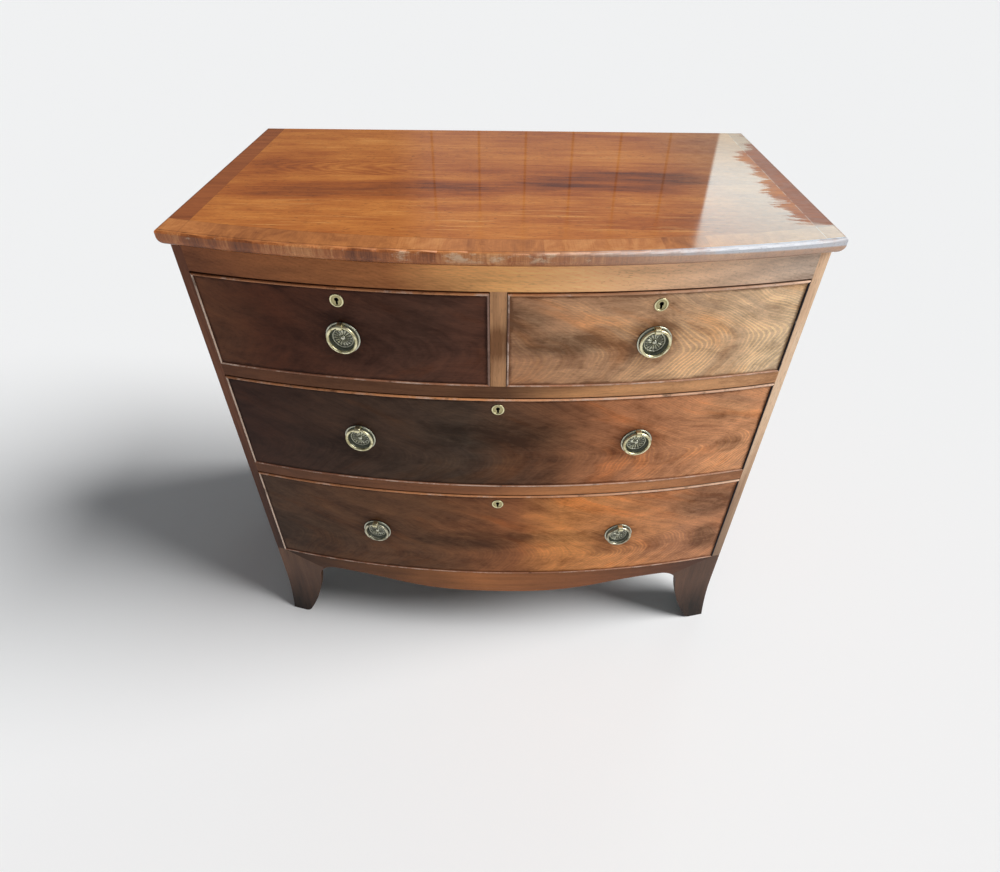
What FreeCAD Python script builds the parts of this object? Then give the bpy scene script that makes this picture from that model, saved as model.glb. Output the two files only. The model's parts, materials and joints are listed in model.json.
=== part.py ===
"""Bow front chest of drawers: two short drawers over two long ones, on splayed bracket feet.

Millimetres. +Z up, -Y to the front, +X to the right as one stands before the chest. The origin is on the
floor, under the middle of the overall box. The carcass front is one vertical cylinder, the bow, and every
rail, drawer front, bead and fitting is set out from it by an inset: its distance behind the bow's face.
"""

import FreeCAD, Part
import os

import Sketcher
from FreeCAD import Placement, Rotation, Vector

DIMENSIONS = {
    # the whole chest and its top board
    "top_width": 920,
    "top_depth": 557,
    "top_bow": 59,
    "top_thick": 23,
    "top_round": 13,
    "top_arris": 4,
    # the carcass
    "case_width": 900,
    "case_bow": 55,
    "case_front": 262.5,
    "case_back": 270,
    "side_thick": 15,
    "frieze_height": 39,
    "frieze_thick": 24,
    "short_height": 155,
    "middle_height": 190,
    "bottom_height": 220,
    "rail_height": 21,
    "rail_depth": 62,
    "divider_width": 23,
    "divider_depth": 24,
    "tenon": 5,
    "dust_thick": 10,
    "floor_thick": 15,
    "back_thick": 9,
    "back_lip": 7,
    "tie_height": 22,
    "tie_depth": 20,
    "strip_width": 24,
    # the apron and the feet
    "apron_top": 193,
    "apron_thick": 20,
    "apron_drop": 134,
    "arch_flat": 50,
    "arch_bend": 210,
    "arch_bend_rise": 16.6,
    "arch_top": 163,
    "arch_corner": 40,
    "arch_inset": 120,
    "foot_toe": 25.7,
    "toe_run": 12.7,
    "toe_rise": 7,
    "toe_curve": 15,
    "foot_curve": 279,
    "foot_thick": 18,
    "flare_height": 110,
    "flare_front": 11,
    "flare_side": 3,
    "block_size": 24,
    "block_lift": 40,
    # the drawers
    "gap_side": 0.8,
    "gap_under": 0.5,
    "gap_over": 2.6,
    "front_thick": 22,
    "lap": 10,
    "drawer_back": 240,
    "drawer_wall": 9,
    "drawer_floor": 6,
    "floor_lift": 8,
    "groove": 4,
    "side_drop": 4,
    "back_drop": 8,
    "bead_width": 3.2,
    "bead_depth": 8,
    "bead_proud": 2.2,
    "bead_round": 0.9,
    # handles
    "plate_radius": 25.5,
    "plate_rim": 2.2,
    "plate_web": 1,
    "rim_width": 2.9,
    "rosette_radius": 14.2,
    "rosette_rise": 2.4,
    "petal_count": 12,
    "ring_radius": 21,
    "ring_wire": 2.2,
    "pivot_out": 6.6,
    "pivot_up": 20.5,
    "eye_radius": 4.7,
    "eye_bore": 3,
    "eye_width": 8.6,
    "shank_radius": 2.5,
    "nut_radius": 6.5,
    "nut_thick": 4,
    "short_handle": 223,
    "long_handle": 225,
    "short_handle_up": 73.6,
    "middle_handle_up": 95.2,
    "bottom_handle_up": 108.4,
    # locks
    "scutcheon_radius": 11.25,
    "scutcheon_thick": 1.4,
    "keyhole_down": 20,
    "keyhole_radius": 3.3,
    "keyhole_slot": 3.8,
    "keyhole_length": 8.4,
    "lock_width": 58,
    "lock_height": 40,
    "lock_thick": 10,
    "lock_inset": 12.5,
    "selvage": 2,
    "bolt_width": 22,
    "bolt_thick": 5,
    "bolt_height": 26,
    "bolt_throw": 8,
    "play": 0.4,
}

# Angles, in degrees round the arch's corner arc, where pieces meet on it
APRON_JOINT = 40
SIDE_JOINT = 27
LEG_JOINT = 84

doc = FreeCAD.newDocument("BowFrontChest")
dims = doc.addObject("Spreadsheet::Sheet", "dims")
for row, (alias, number) in enumerate(DIMENSIONS.items(), start=1):
    dims.set(f"A{row}", str(number))
    dims.setAlias(f"A{row}", alias)
doc.recompute()
nodes = []


# ---------------------------------------------------------------------------------------------------------
# Set-out: expressions that the sketches, features and placements share
# ---------------------------------------------------------------------------------------------------------


def arc_radius(run, rise):
    """The radius of an arc that is level at one end and rises by `rise` over `run`."""
    return f"((({run}) ^ 2 + ({rise}) ^ 2) / (2 * ({rise})))"


HALF_CASE = "(dims.case_width / 2)"
HALF_TOP = "(dims.top_width / 2)"
HALF_DEPTH = "(dims.top_depth / 2)"
INSIDE = f"({HALF_CASE} - dims.side_thick)"
BOW_RADIUS = arc_radius(HALF_CASE, "dims.case_bow")
BOW_CENTRE = f"({BOW_RADIUS} - dims.case_front)"

SHELF = "dims.apron_top"
LOWER_RAIL = f"({SHELF} + dims.bottom_height)"
MIDDLE_ROW = f"({LOWER_RAIL} + dims.rail_height)"
UPPER_RAIL = f"({MIDDLE_ROW} + dims.middle_height)"
SHORT_ROW = f"({UPPER_RAIL} + dims.rail_height)"
FRIEZE = f"({SHORT_ROW} + dims.short_height)"
CASE_TOP = f"({FRIEZE} + dims.frieze_height)"
SIDE_BOTTOM = f"(dims.arch_top - dims.arch_corner * (1 - cos({SIDE_JOINT})))"
BACK_FACE = "(dims.case_back - dims.back_thick)"
STRIP = "dims.strip_width"


def value(expression):
    """The number that an expression has now."""
    found = dims.evalExpression(str(expression))
    return float(getattr(found, "Value", found))


def bow_y(x, inset="0"):
    """Where the bow, moved back by an inset, crosses the plane at x."""
    return f"({BOW_CENTRE} - sqrt(({BOW_RADIUS} - ({inset})) ^ 2 - ({x}) ^ 2))"


# ---------------------------------------------------------------------------------------------------------
# Drawing and joining
# ---------------------------------------------------------------------------------------------------------


def bind(thing, **properties):
    """Bind properties to expressions; a double underscore in a name stands for a dot."""
    for name, expression in properties.items():
        thing.setExpression(name.replace("__", "."), str(expression))
    return thing


def arc_middle(start, end, radius):
    """The middle of the arc from start to end, which turns left where its radius is positive."""
    chord = end - start
    across = Vector(chord.y, -chord.x, 0) / chord.Length
    depth = abs(radius) - max(radius**2 - chord.Length**2 / 4, 0) ** 0.5
    return (start + end) / 2 + across * (depth if radius > 0 else -depth)


def outline(sketch, corners):
    """Draw a closed outline, each corner bound in x and y.

    A corner with a third value starts an arc of that radius to the next corner.
    """
    spots = [Vector(value(corner[0]), value(corner[1]), 0) for corner in corners]
    pieces = []
    for corner, start, end in zip(corners, spots, spots[1:] + spots[:1]):
        if len(corner) == 2:
            pieces.append((sketch.addGeometry(Part.LineSegment(start, end)), 1))
            continue
        arc = sketch.addGeometry(Part.Arc(start, arc_middle(start, end, value(corner[2])), end))
        first = 1 if sketch.getPoint(arc, 1).isEqual(start, 1e-6) else 2
        pieces.append((arc, first))
    rules = []
    formulas = []
    for (piece, first), (following, start) in zip(pieces, pieces[1:] + pieces[:1]):
        rules.append(Sketcher.Constraint("Coincident", piece, 3 - first, following, start))
        formulas.append(None)
    for (piece, first), corner, spot in zip(pieces, corners, spots):
        rules.append(Sketcher.Constraint("DistanceX", -1, 1, piece, first, spot.x))
        rules.append(Sketcher.Constraint("DistanceY", -1, 1, piece, first, spot.y))
        formulas += [corner[0], corner[1]]
        if len(corner) == 3:
            rules.append(Sketcher.Constraint("Radius", piece, abs(value(corner[2]))))
            formulas.append(f"abs({corner[2]})")
    sketch.addConstraint(rules)
    for index, formula in enumerate(formulas):
        if formula is not None:
            sketch.setExpression(f"Constraints[{index}]", str(formula))


def new_body(name):
    body = doc.addObject("PartDesign::Body", name)
    body.Label = name
    return body


def new_sketch(body, name, plane, corners, offset="0"):
    """A sketch on one of the body's origin planes, moved along that plane's normal by an offset."""
    sketch = body.newObject("Sketcher::SketchObject", name)
    origin = [item for item in body.Origin.OriginFeatures if item.Role == plane]
    sketch.AttachmentSupport = [(origin[0], "")]
    sketch.MapMode = "FlatFace"
    bind(sketch, AttachmentOffset__Base__z=offset)
    outline(sketch, corners)
    return sketch


def pad(name, plane, corners, length, offset="0", midplane=False):
    """A body padded from one outline, away from the plane: +Z from XY, -Y from XZ and +X from YZ."""
    body = new_body(name)
    sketch = new_sketch(body, f"{name}_outline", plane, corners, offset)
    feature = body.newObject("PartDesign::Pad", f"{name}_pad")
    feature.Profile = sketch
    feature.Midplane = midplane
    bind(feature, Length=length)
    sketch.Visibility = False
    return body


def turned(name, corners, offset="0"):
    """A body turned about the Y axis from an outline on the XY plane."""
    body = new_body(name)
    sketch = new_sketch(body, f"{name}_outline", "XY_Plane", corners, offset)
    feature = body.newObject("PartDesign::Revolution", f"{name}_turn")
    feature.Profile = sketch
    feature.ReferenceAxis = (sketch, ["V_Axis"])
    feature.Angle = 360
    return body


def swept(name, corners, angle, symmetric=False):
    """A section, drawn on the YZ plane, swept round the bow's axis."""
    body = new_body(f"{name}_section")
    sketch = new_sketch(body, f"{name}_outline", "YZ_Plane", corners)
    sweep = doc.addObject("Part::Revolution", name)
    sweep.Source = sketch
    sweep.Axis = Vector(0, 0, 1)
    bind(sweep, Base__y=BOW_CENTRE, Angle=angle)
    sweep.Symmetric = symmetric
    sweep.Solid = True
    return sweep


def block(name, x, y, z, length, width, height):
    """A plain box from its lowest corner."""
    box = doc.addObject("Part::Box", name)
    bind(box, Length=length, Width=width, Height=height)
    return bind(box, Placement__Base__x=x, Placement__Base__y=y, Placement__Base__z=z)


def cylinder(name, radius, height, rotation, x="0", y="0", z="0"):
    rod = doc.addObject("Part::Cylinder", name)
    rod.Placement = Placement(Vector(), rotation)
    bind(rod, Radius=radius, Height=height)
    return bind(rod, Placement__Base__x=x, Placement__Base__y=y, Placement__Base__z=z)


def common(name, *shapes):
    joined = doc.addObject("Part::MultiCommon", name)
    joined.Shapes = shapes
    return joined


def fuse(name, *shapes):
    joined = doc.addObject("Part::MultiFuse", name)
    joined.Shapes = shapes
    return joined


def cut(name, base, *tools):
    left = doc.addObject("Part::Cut", name)
    left.Base = base
    left.Tool = tools[0] if len(tools) == 1 else fuse(f"{name}_tools", *tools)
    return left


def group(name, *shapes):
    """Separate solids that share one node."""
    together = doc.addObject("Part::Compound", name)
    together.Links = shapes
    return together


def mirrored(name, source, normal=Vector(1, 0, 0)):
    other = doc.addObject("Part::Mirroring", name)
    other.Source = source
    other.Normal = normal
    return other


def node(thing, name):
    """Name a finished sub-part."""
    thing.Label = name
    nodes.append(thing)
    return thing


def set_on_bow(thing, x, z, inset="0"):
    """Place a piece that was drawn at the origin, facing -Y, square to the bow at x."""
    thing.Placement = Placement(Vector(), Rotation(Vector(0, 0, 1), 0))
    turn = f"asin(({x}) / {BOW_RADIUS})"
    bind(thing, Placement__Base__x=f"({BOW_RADIUS} - ({inset})) * sin({turn})")
    bind(thing, Placement__Base__y=f"{BOW_CENTRE} - ({BOW_RADIUS} - ({inset})) * cos({turn})")
    return bind(thing, Placement__Base__z=z, Placement__Rotation__Angle=turn)


# ---------------------------------------------------------------------------------------------------------
# Plans and profiles that several pieces share
# ---------------------------------------------------------------------------------------------------------


def bowed_plan(left, right, inset, thick):
    """The plan of a board that follows the bow on both faces."""
    back = f"({inset}) + ({thick})"
    return [
        (left, bow_y(left, inset), f"{BOW_RADIUS} - ({inset})"),
        (right, bow_y(right, inset)),
        (right, bow_y(right, back), f"-({BOW_RADIUS} - ({back}))"),
        (left, bow_y(left, back)),
    ]


def bow_to_back(left, right, inset, back):
    """The plan of a board with a bowed front edge and a straight back edge."""
    return [
        (left, bow_y(left, inset), f"{BOW_RADIUS} - ({inset})"),
        (right, bow_y(right, inset)),
        (right, back),
        (left, back),
    ]


def bowed_board(name, left, right, inset, thick, low, height):
    return pad(name, "XY_Plane", bowed_plan(left, right, inset, thick), height, low)


def on_corner(edge, inward, angle):
    """A point on the arc that turns the arch down into a foot; the angle is from the arc's top."""
    across = f"{edge} + ({inward}) * (dims.arch_inset - dims.arch_corner * sin({angle}))"
    return across, f"dims.arch_top - dims.arch_corner * (1 - cos({angle}))"


def foot_outline(edge, inward, joint, spare, *head):
    """A foot from the front or the side: `spare` past its outer edge, then up its rounded toe and leg."""
    leg = on_corner(edge, inward, LEG_JOINT)
    top = on_corner(edge, inward, joint)
    ankle = f"{edge} + ({inward}) * (dims.foot_toe + dims.toe_run)"
    return [
        (f"{edge} - ({inward}) * {spare}", "0"),
        (f"{edge} + ({inward}) * dims.foot_toe", "0", f"({inward}) * dims.toe_curve"),
        (ankle, "dims.toe_rise", f"({inward}) * dims.foot_curve"),
        (*leg, f"-({inward}) * dims.arch_corner"),
        top,
        *head,
    ]


def flare(face, outward, spread, thick, top):
    """The section of a foot's wall, whose face curves outward by `spread` down to the floor."""
    radius = arc_radius("dims.flare_height", spread)
    inner = f"{face} - ({outward}) * ({thick})"
    outer_floor = f"{face} + ({outward}) * {spread}"
    inner_floor = f"{inner} + ({outward}) * {spread}"
    return [
        (face, top),
        (face, "dims.flare_height", f"({outward}) * {radius}"),
        (outer_floor, "0"),
        (inner_floor, "0", f"-({outward}) * {radius}"),
        (inner, "dims.flare_height"),
        (inner, top),
    ]


# ---------------------------------------------------------------------------------------------------------
# Carcass
# ---------------------------------------------------------------------------------------------------------


def make_top():
    """A flat board with a bowed front, rounded under at the front and the ends and flush behind."""
    corner_y = f"-{HALF_DEPTH} + dims.top_bow"
    plan = [
        (f"-{HALF_TOP}", corner_y, arc_radius(HALF_TOP, "dims.top_bow")),
        (HALF_TOP, corner_y),
        (HALF_TOP, HALF_DEPTH),
        (f"-{HALF_TOP}", HALF_DEPTH),
    ]
    body = pad("top", "XY_Plane", plan, "dims.top_thick", CASE_TOP)
    doc.recompute()
    for name, level, size in (
        ("underside", value(CASE_TOP), "dims.top_round"),
        ("arris", value(CASE_TOP) + value("dims.top_thick"), "dims.top_arris"),
    ):
        before = body.Tip
        edges = [
            f"Edge{number}"
            for number, edge in enumerate(before.Shape.Edges, start=1)
            if abs(edge.BoundBox.ZMin - level) < 1e-6
            and abs(edge.BoundBox.ZMax - level) < 1e-6
            and edge.BoundBox.YMin < value(HALF_DEPTH) - 1
        ]
        rounding = body.newObject("PartDesign::Fillet", f"top_{name}")
        rounding.Base = (before, edges)
        bind(rounding, Radius=size)
        doc.recompute()
    node(body, "top")


def make_sides():
    """Side boards whose front edges are the stiles: grooved for the rails and floor, rebated behind."""
    plan = [
        (INSIDE, bow_y(INSIDE), BOW_RADIUS),
        (HALF_CASE, bow_y(HALF_CASE)),
        (HALF_CASE, "dims.case_back"),
        (f"{HALF_CASE} - dims.back_lip", "dims.case_back"),
        (f"{HALF_CASE} - dims.back_lip", BACK_FACE),
        (INSIDE, BACK_FACE),
    ]
    board = pad("side_board", "XY_Plane", plan, f"{CASE_TOP} - {SIDE_BOTTOM}", SIDE_BOTTOM)
    foot_back = bow_y(HALF_CASE, "dims.foot_thick")
    front = "-dims.case_front"
    seat = block(
        "side_foot_seat", INSIDE, front, SIDE_BOTTOM,
        "dims.side_thick", f"{foot_back} + dims.case_front", f"{SHELF} - {SIDE_BOTTOM}",
    )
    grooves = [
        block("side_floor_groove", INSIDE, foot_back, f"{SHELF} - dims.floor_thick",
              "dims.tenon", f"{BACK_FACE} - {foot_back}", "dims.floor_thick")
    ]
    for name, rail in (("lower", LOWER_RAIL), ("upper", UPPER_RAIL)):
        grooves.append(
            block(f"side_{name}_groove", INSIDE, bow_y(INSIDE, "dims.frieze_thick"),
                  f"{rail} + (dims.rail_height - dims.dust_thick) / 2", "dims.tenon",
                  f"{BACK_FACE} - {bow_y(INSIDE, 'dims.frieze_thick')}", "dims.dust_thick")
        )
    right = node(cut("side_board_cut", board, seat, *grooves), "side_right")
    node(mirrored("side_board_mirror", right), "side_left")


def rail(name, low, mortises):
    """A drawer rail: a bowed strip with a stub tenon at each end, grooved behind for the dust board."""
    back = f"{bow_y(INSIDE)} + dims.rail_depth"
    strip = pad(f"{name}_strip", "XY_Plane", bow_to_back(f"-{INSIDE}", INSIDE, "0", back),
                "dims.rail_height", low)
    start = bow_y(INSIDE, "dims.frieze_thick")
    level = f"{low} + (dims.rail_height - dims.dust_thick) / 2"
    tenon = block(f"{name}_tenon", f"-({INSIDE} + dims.tenon)", start, level,
                  f"2 * ({INSIDE} + dims.tenon)", f"{back} - {start}", "dims.dust_thick")
    groove = block(f"{name}_groove", f"-({INSIDE} + dims.tenon)", f"{back} - dims.tenon", level,
                   f"2 * ({INSIDE} + dims.tenon)", "dims.tenon + 1", "dims.dust_thick")
    node(cut(f"{name}_cut", fuse(f"{name}_whole", strip, tenon), groove, *mortises), name)


def bolt_mortise(name, x, low):
    """The pocket that a lock's bolt rises into."""
    width = "dims.bolt_width + 4 * dims.play"
    middle = "(dims.lock_thick / 2)"
    thick = "(dims.bolt_thick + 4 * dims.play)"
    plan = [
        (f"-({width}) / 2", f"{middle} - {thick} / 2"),
        (f"({width}) / 2", f"{middle} - {thick} / 2"),
        (f"({width}) / 2", f"{middle} + {thick} / 2"),
        (f"-({width}) / 2", f"{middle} + {thick} / 2"),
    ]
    pocket = pad(f"{name}_mortise", "XY_Plane", plan, "dims.bolt_throw + 2")
    return set_on_bow(pocket, x, f"{low} - 1", "dims.lock_inset")


def make_rails():
    rail("lower_rail", LOWER_RAIL, [bolt_mortise("bottom_lock", "0", LOWER_RAIL)])
    rail("upper_rail", UPPER_RAIL, [bolt_mortise("middle_lock", "0", UPPER_RAIL)])
    board = bowed_board("frieze_board", f"-{INSIDE}", INSIDE, "0", "dims.frieze_thick",
                        FRIEZE, "dims.frieze_height")
    mortises = [
        bolt_mortise("left_lock", "-dims.short_handle", FRIEZE),
        bolt_mortise("right_lock", "dims.short_handle", FRIEZE),
    ]
    node(cut("frieze_cut", board, *mortises), "frieze_rail")


def make_divider():
    """The post between the short drawers, and the partition that carries on behind it."""
    half = "dims.divider_width / 2"
    post = bowed_board("divider_post", f"-{half}", half, "0", "dims.divider_depth",
                       SHORT_ROW, "dims.short_height")
    node(post, "drawer_divider")
    start = bow_y(half, "dims.divider_depth")
    dust_top = f"{UPPER_RAIL} + (dims.rail_height + dims.dust_thick) / 2"
    rail_back = f"({bow_y(INSIDE)} + dims.rail_depth)"
    wall = [
        (start, SHORT_ROW),
        (rail_back, SHORT_ROW),
        (rail_back, dust_top),
        ("dims.drawer_back", dust_top),
        ("dims.drawer_back", CASE_TOP),
        (start, CASE_TOP),
    ]
    node(pad("partition_wall", "YZ_Plane", wall, "dims.divider_width", f"-{half}"), "partition")


def make_boards():
    """The dust boards, the floor of the case and the back boards."""
    rail_back = f"{bow_y(INSIDE)} + dims.rail_depth - dims.tenon"
    reach = f"{INSIDE} + dims.tenon"
    boards = [
        block(f"{name}_dust", f"-({reach})", rail_back,
              f"{low} + (dims.rail_height - dims.dust_thick) / 2", f"2 * ({reach})",
              f"{BACK_FACE} - ({rail_back})", "dims.dust_thick")
        for name, low in (("lower", LOWER_RAIL), ("upper", UPPER_RAIL))
    ]
    node(group("dust_pair", *boards), "dust_boards")
    floor = pad("floor", "XY_Plane", bow_to_back(f"-{INSIDE}", INSIDE, "dims.apron_thick", BACK_FACE),
                "dims.floor_thick", f"{SHELF} - dims.floor_thick")
    tongue_start = bow_y(HALF_CASE, "dims.foot_thick")
    tongue = block("floor_tongue", f"-({reach})", tongue_start, f"{SHELF} - dims.floor_thick",
                   f"2 * ({reach})", f"{BACK_FACE} - {tongue_start}", "dims.floor_thick")
    node(fuse("floor_whole", floor, tongue), "bottom_board")
    count = 4
    height = f"(({CASE_TOP} - {SHELF} + dims.floor_thick) / {count})"
    back = [
        block(f"back_{index}", f"-({HALF_CASE} - dims.back_lip)", BACK_FACE,
              f"{SHELF} - dims.floor_thick + {index} * {height}",
              f"2 * ({HALF_CASE} - dims.back_lip)", "dims.back_thick", f"{height} - 1")
        for index in range(count)
    ]
    node(group("back_stack", *back), "back_boards")


def make_strips():
    """Runners and stops under the drawers; kickers over the short drawers and the tie they end at."""
    rail_back = f"{bow_y(INSIDE)} + dims.rail_depth"
    half = "dims.divider_width / 2"
    strips = []
    outer_pair = [("left", f"-{INSIDE}"), ("right", f"{INSIDE} - {STRIP}")]
    inner_pair = [("inner_left", f"-{half} - {STRIP}"), ("inner_right", half)]
    rows = (("lower", LOWER_RAIL, outer_pair), ("upper", UPPER_RAIL, outer_pair + inner_pair))
    for name, low, places in rows:
        top = f"{low} + (dims.rail_height + dims.dust_thick) / 2"
        for side, x in places:
            strips.append(block(f"{name}_{side}_runner", x, rail_back, top, STRIP,
                                f"{BACK_FACE} - ({rail_back})", "(dims.rail_height - dims.dust_thick) / 2"))
    stops = (("bottom", SHELF, ("-200", "160")), ("middle", MIDDLE_ROW, ("-200", "160")),
             ("short", SHORT_ROW, ("-240", "200")))
    for name, low, places in stops:
        for index, x in enumerate(places):
            outer = x if value(x) < 0 else f"{x} + 40"
            behind = bow_y(outer, "dims.front_thick")
            strips.append(block(f"{name}_stop_{index}", x, f"{behind} + 1", low, "40", "22", "5"))
    node(group("runner_set", *strips), "runners_and_stops")

    tie_front = f"{BACK_FACE} - dims.tie_depth"
    level = f"{CASE_TOP} - dims.tie_height"
    tie = block("back_tie", f"-{INSIDE}", tie_front, level, f"2 * {INSIDE}", "dims.tie_depth",
                "dims.tie_height")
    ties = [tie]
    for side, x, outer in (("left", f"-{INSIDE}", INSIDE),
                           ("right", f"{INSIDE} - {STRIP}", INSIDE),
                           ("inner_left", f"-{half} - {STRIP}", f"{half} + {STRIP}"),
                           ("inner_right", half, f"{half} + {STRIP}")):
        start = bow_y(outer, "dims.frieze_thick")
        ties.append(block(f"{side}_kicker", x, start, FRIEZE, STRIP, f"{tie_front} - {start}",
                          f"{CASE_TOP} - {FRIEZE}"))
    node(group("tie_set", *ties), "top_ties")


def make_apron():
    """The bowed rail under the bottom drawer, its lower edge rising from a level middle to two arches."""
    bend_z = "(dims.apron_drop + dims.arch_bend_rise)"
    first = arc_radius("dims.arch_bend - dims.arch_flat", "dims.arch_bend_rise")
    last = arc_radius(f"{HALF_CASE} - dims.arch_inset - dims.arch_bend", f"dims.arch_top - {bend_z}")
    joint_x, joint_z = on_corner(HALF_CASE, "-1", APRON_JOINT)
    arch_x = f"{HALF_CASE} - dims.arch_inset"
    edge = [
        (INSIDE, SHELF),
        (joint_x, joint_z, "dims.arch_corner"),
        (arch_x, "dims.arch_top", last),
        ("dims.arch_bend", bend_z, f"-{first}"),
        ("dims.arch_flat", "dims.apron_drop"),
        ("-dims.arch_flat", "dims.apron_drop", f"-{first}"),
        ("-dims.arch_bend", bend_z, last),
        (f"-({arch_x})", "dims.arch_top", "dims.arch_corner"),
        (f"-({joint_x})", joint_z),
        (f"-{INSIDE}", SHELF),
    ]
    slab = bowed_board("apron_slab", f"-{INSIDE}", INSIDE, "0", "dims.apron_thick", "0", SHELF)
    shape = pad("apron_shape", "XZ_Plane", edge, "dims.top_depth", midplane=True)
    return node(common("apron_cut", slab, shape), "apron")


def make_feet(apron):
    """Splayed bracket feet: a bowed wall and a side wall, both flared to the floor, mitred at the corner."""
    sweep_angle = f"asin(({HALF_CASE} + 25) / {BOW_RADIUS})"
    front_face = "-dims.case_front"
    front_wall = swept("front_wall", flare(front_face, "-1", "dims.flare_front", "dims.foot_thick", SHELF),
                       sweep_angle)
    front_limit = swept("front_limit", flare(front_face, "-1", "dims.flare_front", "150", SHELF),
                        sweep_angle)
    long_run = "dims.case_front + dims.case_back + 60"
    side_wall = pad("side_wall", "XZ_Plane",
                    flare(HALF_CASE, "1", "dims.flare_side", "dims.foot_thick", SIDE_BOTTOM),
                    long_run, "-dims.case_back")
    side_limit = pad("side_limit", "XZ_Plane",
                     flare(HALF_CASE, "1", "dims.flare_side", "150", SHELF), long_run, "-dims.case_back")

    front_shape = pad(
        "foot_front_shape", "XZ_Plane",
        foot_outline(HALF_CASE, "-1", APRON_JOINT, "30", (INSIDE, SHELF), (f"{HALF_CASE} + 30", SHELF)),
        "dims.top_depth", midplane=True,
    )
    corner = bow_y(HALF_CASE)
    side_shape = pad(
        "foot_side_shape", "YZ_Plane",
        foot_outline(corner, "1", SIDE_JOINT, "60", (f"{corner} - 60", SIDE_BOTTOM)), HALF_TOP,
    )
    front_half = common("foot_front_half", front_wall, side_limit, front_shape)
    side_half = common("foot_side_half", side_wall, front_limit, side_shape)
    right = node(fuse("foot_front_whole", front_half, side_half), "foot_front_right")
    node(mirrored("foot_front_mirror", right), "foot_front_left")

    back_shape = pad(
        "foot_rear_shape", "YZ_Plane",
        foot_outline("dims.case_back", "-1", SIDE_JOINT, "0", ("dims.case_back", SIDE_BOTTOM)), HALF_TOP,
    )
    rear_side = common("foot_rear_side", side_wall, back_shape)
    rear_outline = foot_outline(HALF_CASE, "-1", SIDE_JOINT, "30", (f"{HALF_CASE} + 30", SIDE_BOTTOM))
    rear_plate = pad("foot_rear_plate", "XZ_Plane", rear_outline, "dims.foot_thick", "-dims.case_back")
    rear_limit = pad("rear_limit", "XZ_Plane",
                     flare(HALF_CASE, "1", "dims.flare_side", "150", SIDE_BOTTOM),
                     long_run, "-dims.case_back")
    rear_back = common("foot_rear_back", rear_plate, rear_limit)
    rear = fuse("foot_rear_right", rear_side, rear_back)
    node(group("foot_rear_pair", rear, mirrored("foot_rear_left", rear)), "back_feet")
    make_glue_blocks(right, rear, apron)


def make_glue_blocks(front_foot, rear_foot, apron):
    """Corner blocks glued behind the feet, under the case floor, planed to fit the walls."""
    reach = f"{HALF_CASE} - dims.foot_thick - dims.block_size"
    height = f"{SHELF} - dims.floor_thick - dims.block_lift"
    front_y = bow_y(reach, "dims.foot_thick")
    size = "dims.block_size + dims.foot_thick"
    front = block("block_front_blank", reach, front_y, "dims.block_lift", "dims.block_size + 2",
                  size, height)
    rear = block("block_rear_blank", reach, "dims.case_back - dims.foot_thick - dims.block_size",
                 "dims.block_lift", "dims.block_size + 2", "dims.block_size + 2", height)
    front_right = cut("block_front_right", front, front_foot, apron)
    rear_right = cut("block_rear_right", rear, rear_foot)
    blocks = [front_right, rear_right]
    blocks += [mirrored(f"{item.Name}_mirror", item) for item in (front_right, rear_right)]
    node(group("block_set", *blocks), "glue_blocks")


# ---------------------------------------------------------------------------------------------------------
# Drawers
# ---------------------------------------------------------------------------------------------------------


def bead_strip(name, low, height, shape):
    """A horizontal bead: a strip with an eased nose, swept along the bow and mitred by a shape."""
    back = "-dims.case_front + dims.bead_depth"
    nose = "-dims.case_front - dims.bead_proud"
    shoulder = f"{nose} + dims.bead_round"
    section = [
        (back, low),
        (back, f"{low} + {height}"),
        (shoulder, f"{low} + {height}"),
        (nose, f"{low} + {height} - dims.bead_round"),
        (nose, f"{low} + dims.bead_round"),
        (shoulder, low),
    ]
    return common(name, swept(f"{name}_sweep", section, "2 * asin((dims.case_width / 2) / "
                              f"{BOW_RADIUS})", symmetric=True), shape)


def cock_beads(name, left, right, low, high):
    """Four mitred beads round a drawer front."""
    wide = "dims.bead_width"
    inner_left = f"{left} + {wide}"
    inner_right = f"{right} - {wide}"
    inner_low = f"{low} + {wide}"
    inner_high = f"{high} - {wide}"
    mitres = {
        "under": [(left, low), (right, low), (inner_right, inner_low), (inner_left, inner_low)],
        "over": [(inner_left, inner_high), (inner_right, inner_high), (right, high), (left, high)],
        "left": [(left, low), (inner_left, inner_low), (inner_left, inner_high), (left, high)],
        "right": [(right, low), (right, high), (inner_right, inner_high), (inner_right, inner_low)],
    }
    shapes = {
        side: pad(f"{name}_{side}_mitre", "XZ_Plane", corners, "dims.top_depth", midplane=True)
        for side, corners in mitres.items()
    }
    nose = "-dims.bead_proud"
    shoulder = "dims.bead_round - dims.bead_proud"
    beads = [
        bead_strip(f"{name}_under", low, wide, shapes["under"]),
        bead_strip(f"{name}_over", inner_high, wide, shapes["over"]),
    ]
    for side, near, far in (("left", left, inner_left), ("right", inner_right, right)):
        eased_near = f"({near} + dims.bead_round)"
        eased_far = f"({far} - dims.bead_round)"
        plan = [
            (far, bow_y(far, "dims.bead_depth")),
            (near, bow_y(near, "dims.bead_depth")),
            (near, bow_y(near, shoulder)),
            (eased_near, bow_y(eased_near, nose)),
            (eased_far, bow_y(eased_far, nose)),
            (far, bow_y(far, shoulder)),
        ]
        upright = pad(f"{name}_{side}_upright", "XY_Plane", plan, f"{high} - ({low})", low)
        beads.append(common(f"{name}_{side}", upright, shapes[side]))
    return beads


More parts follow.
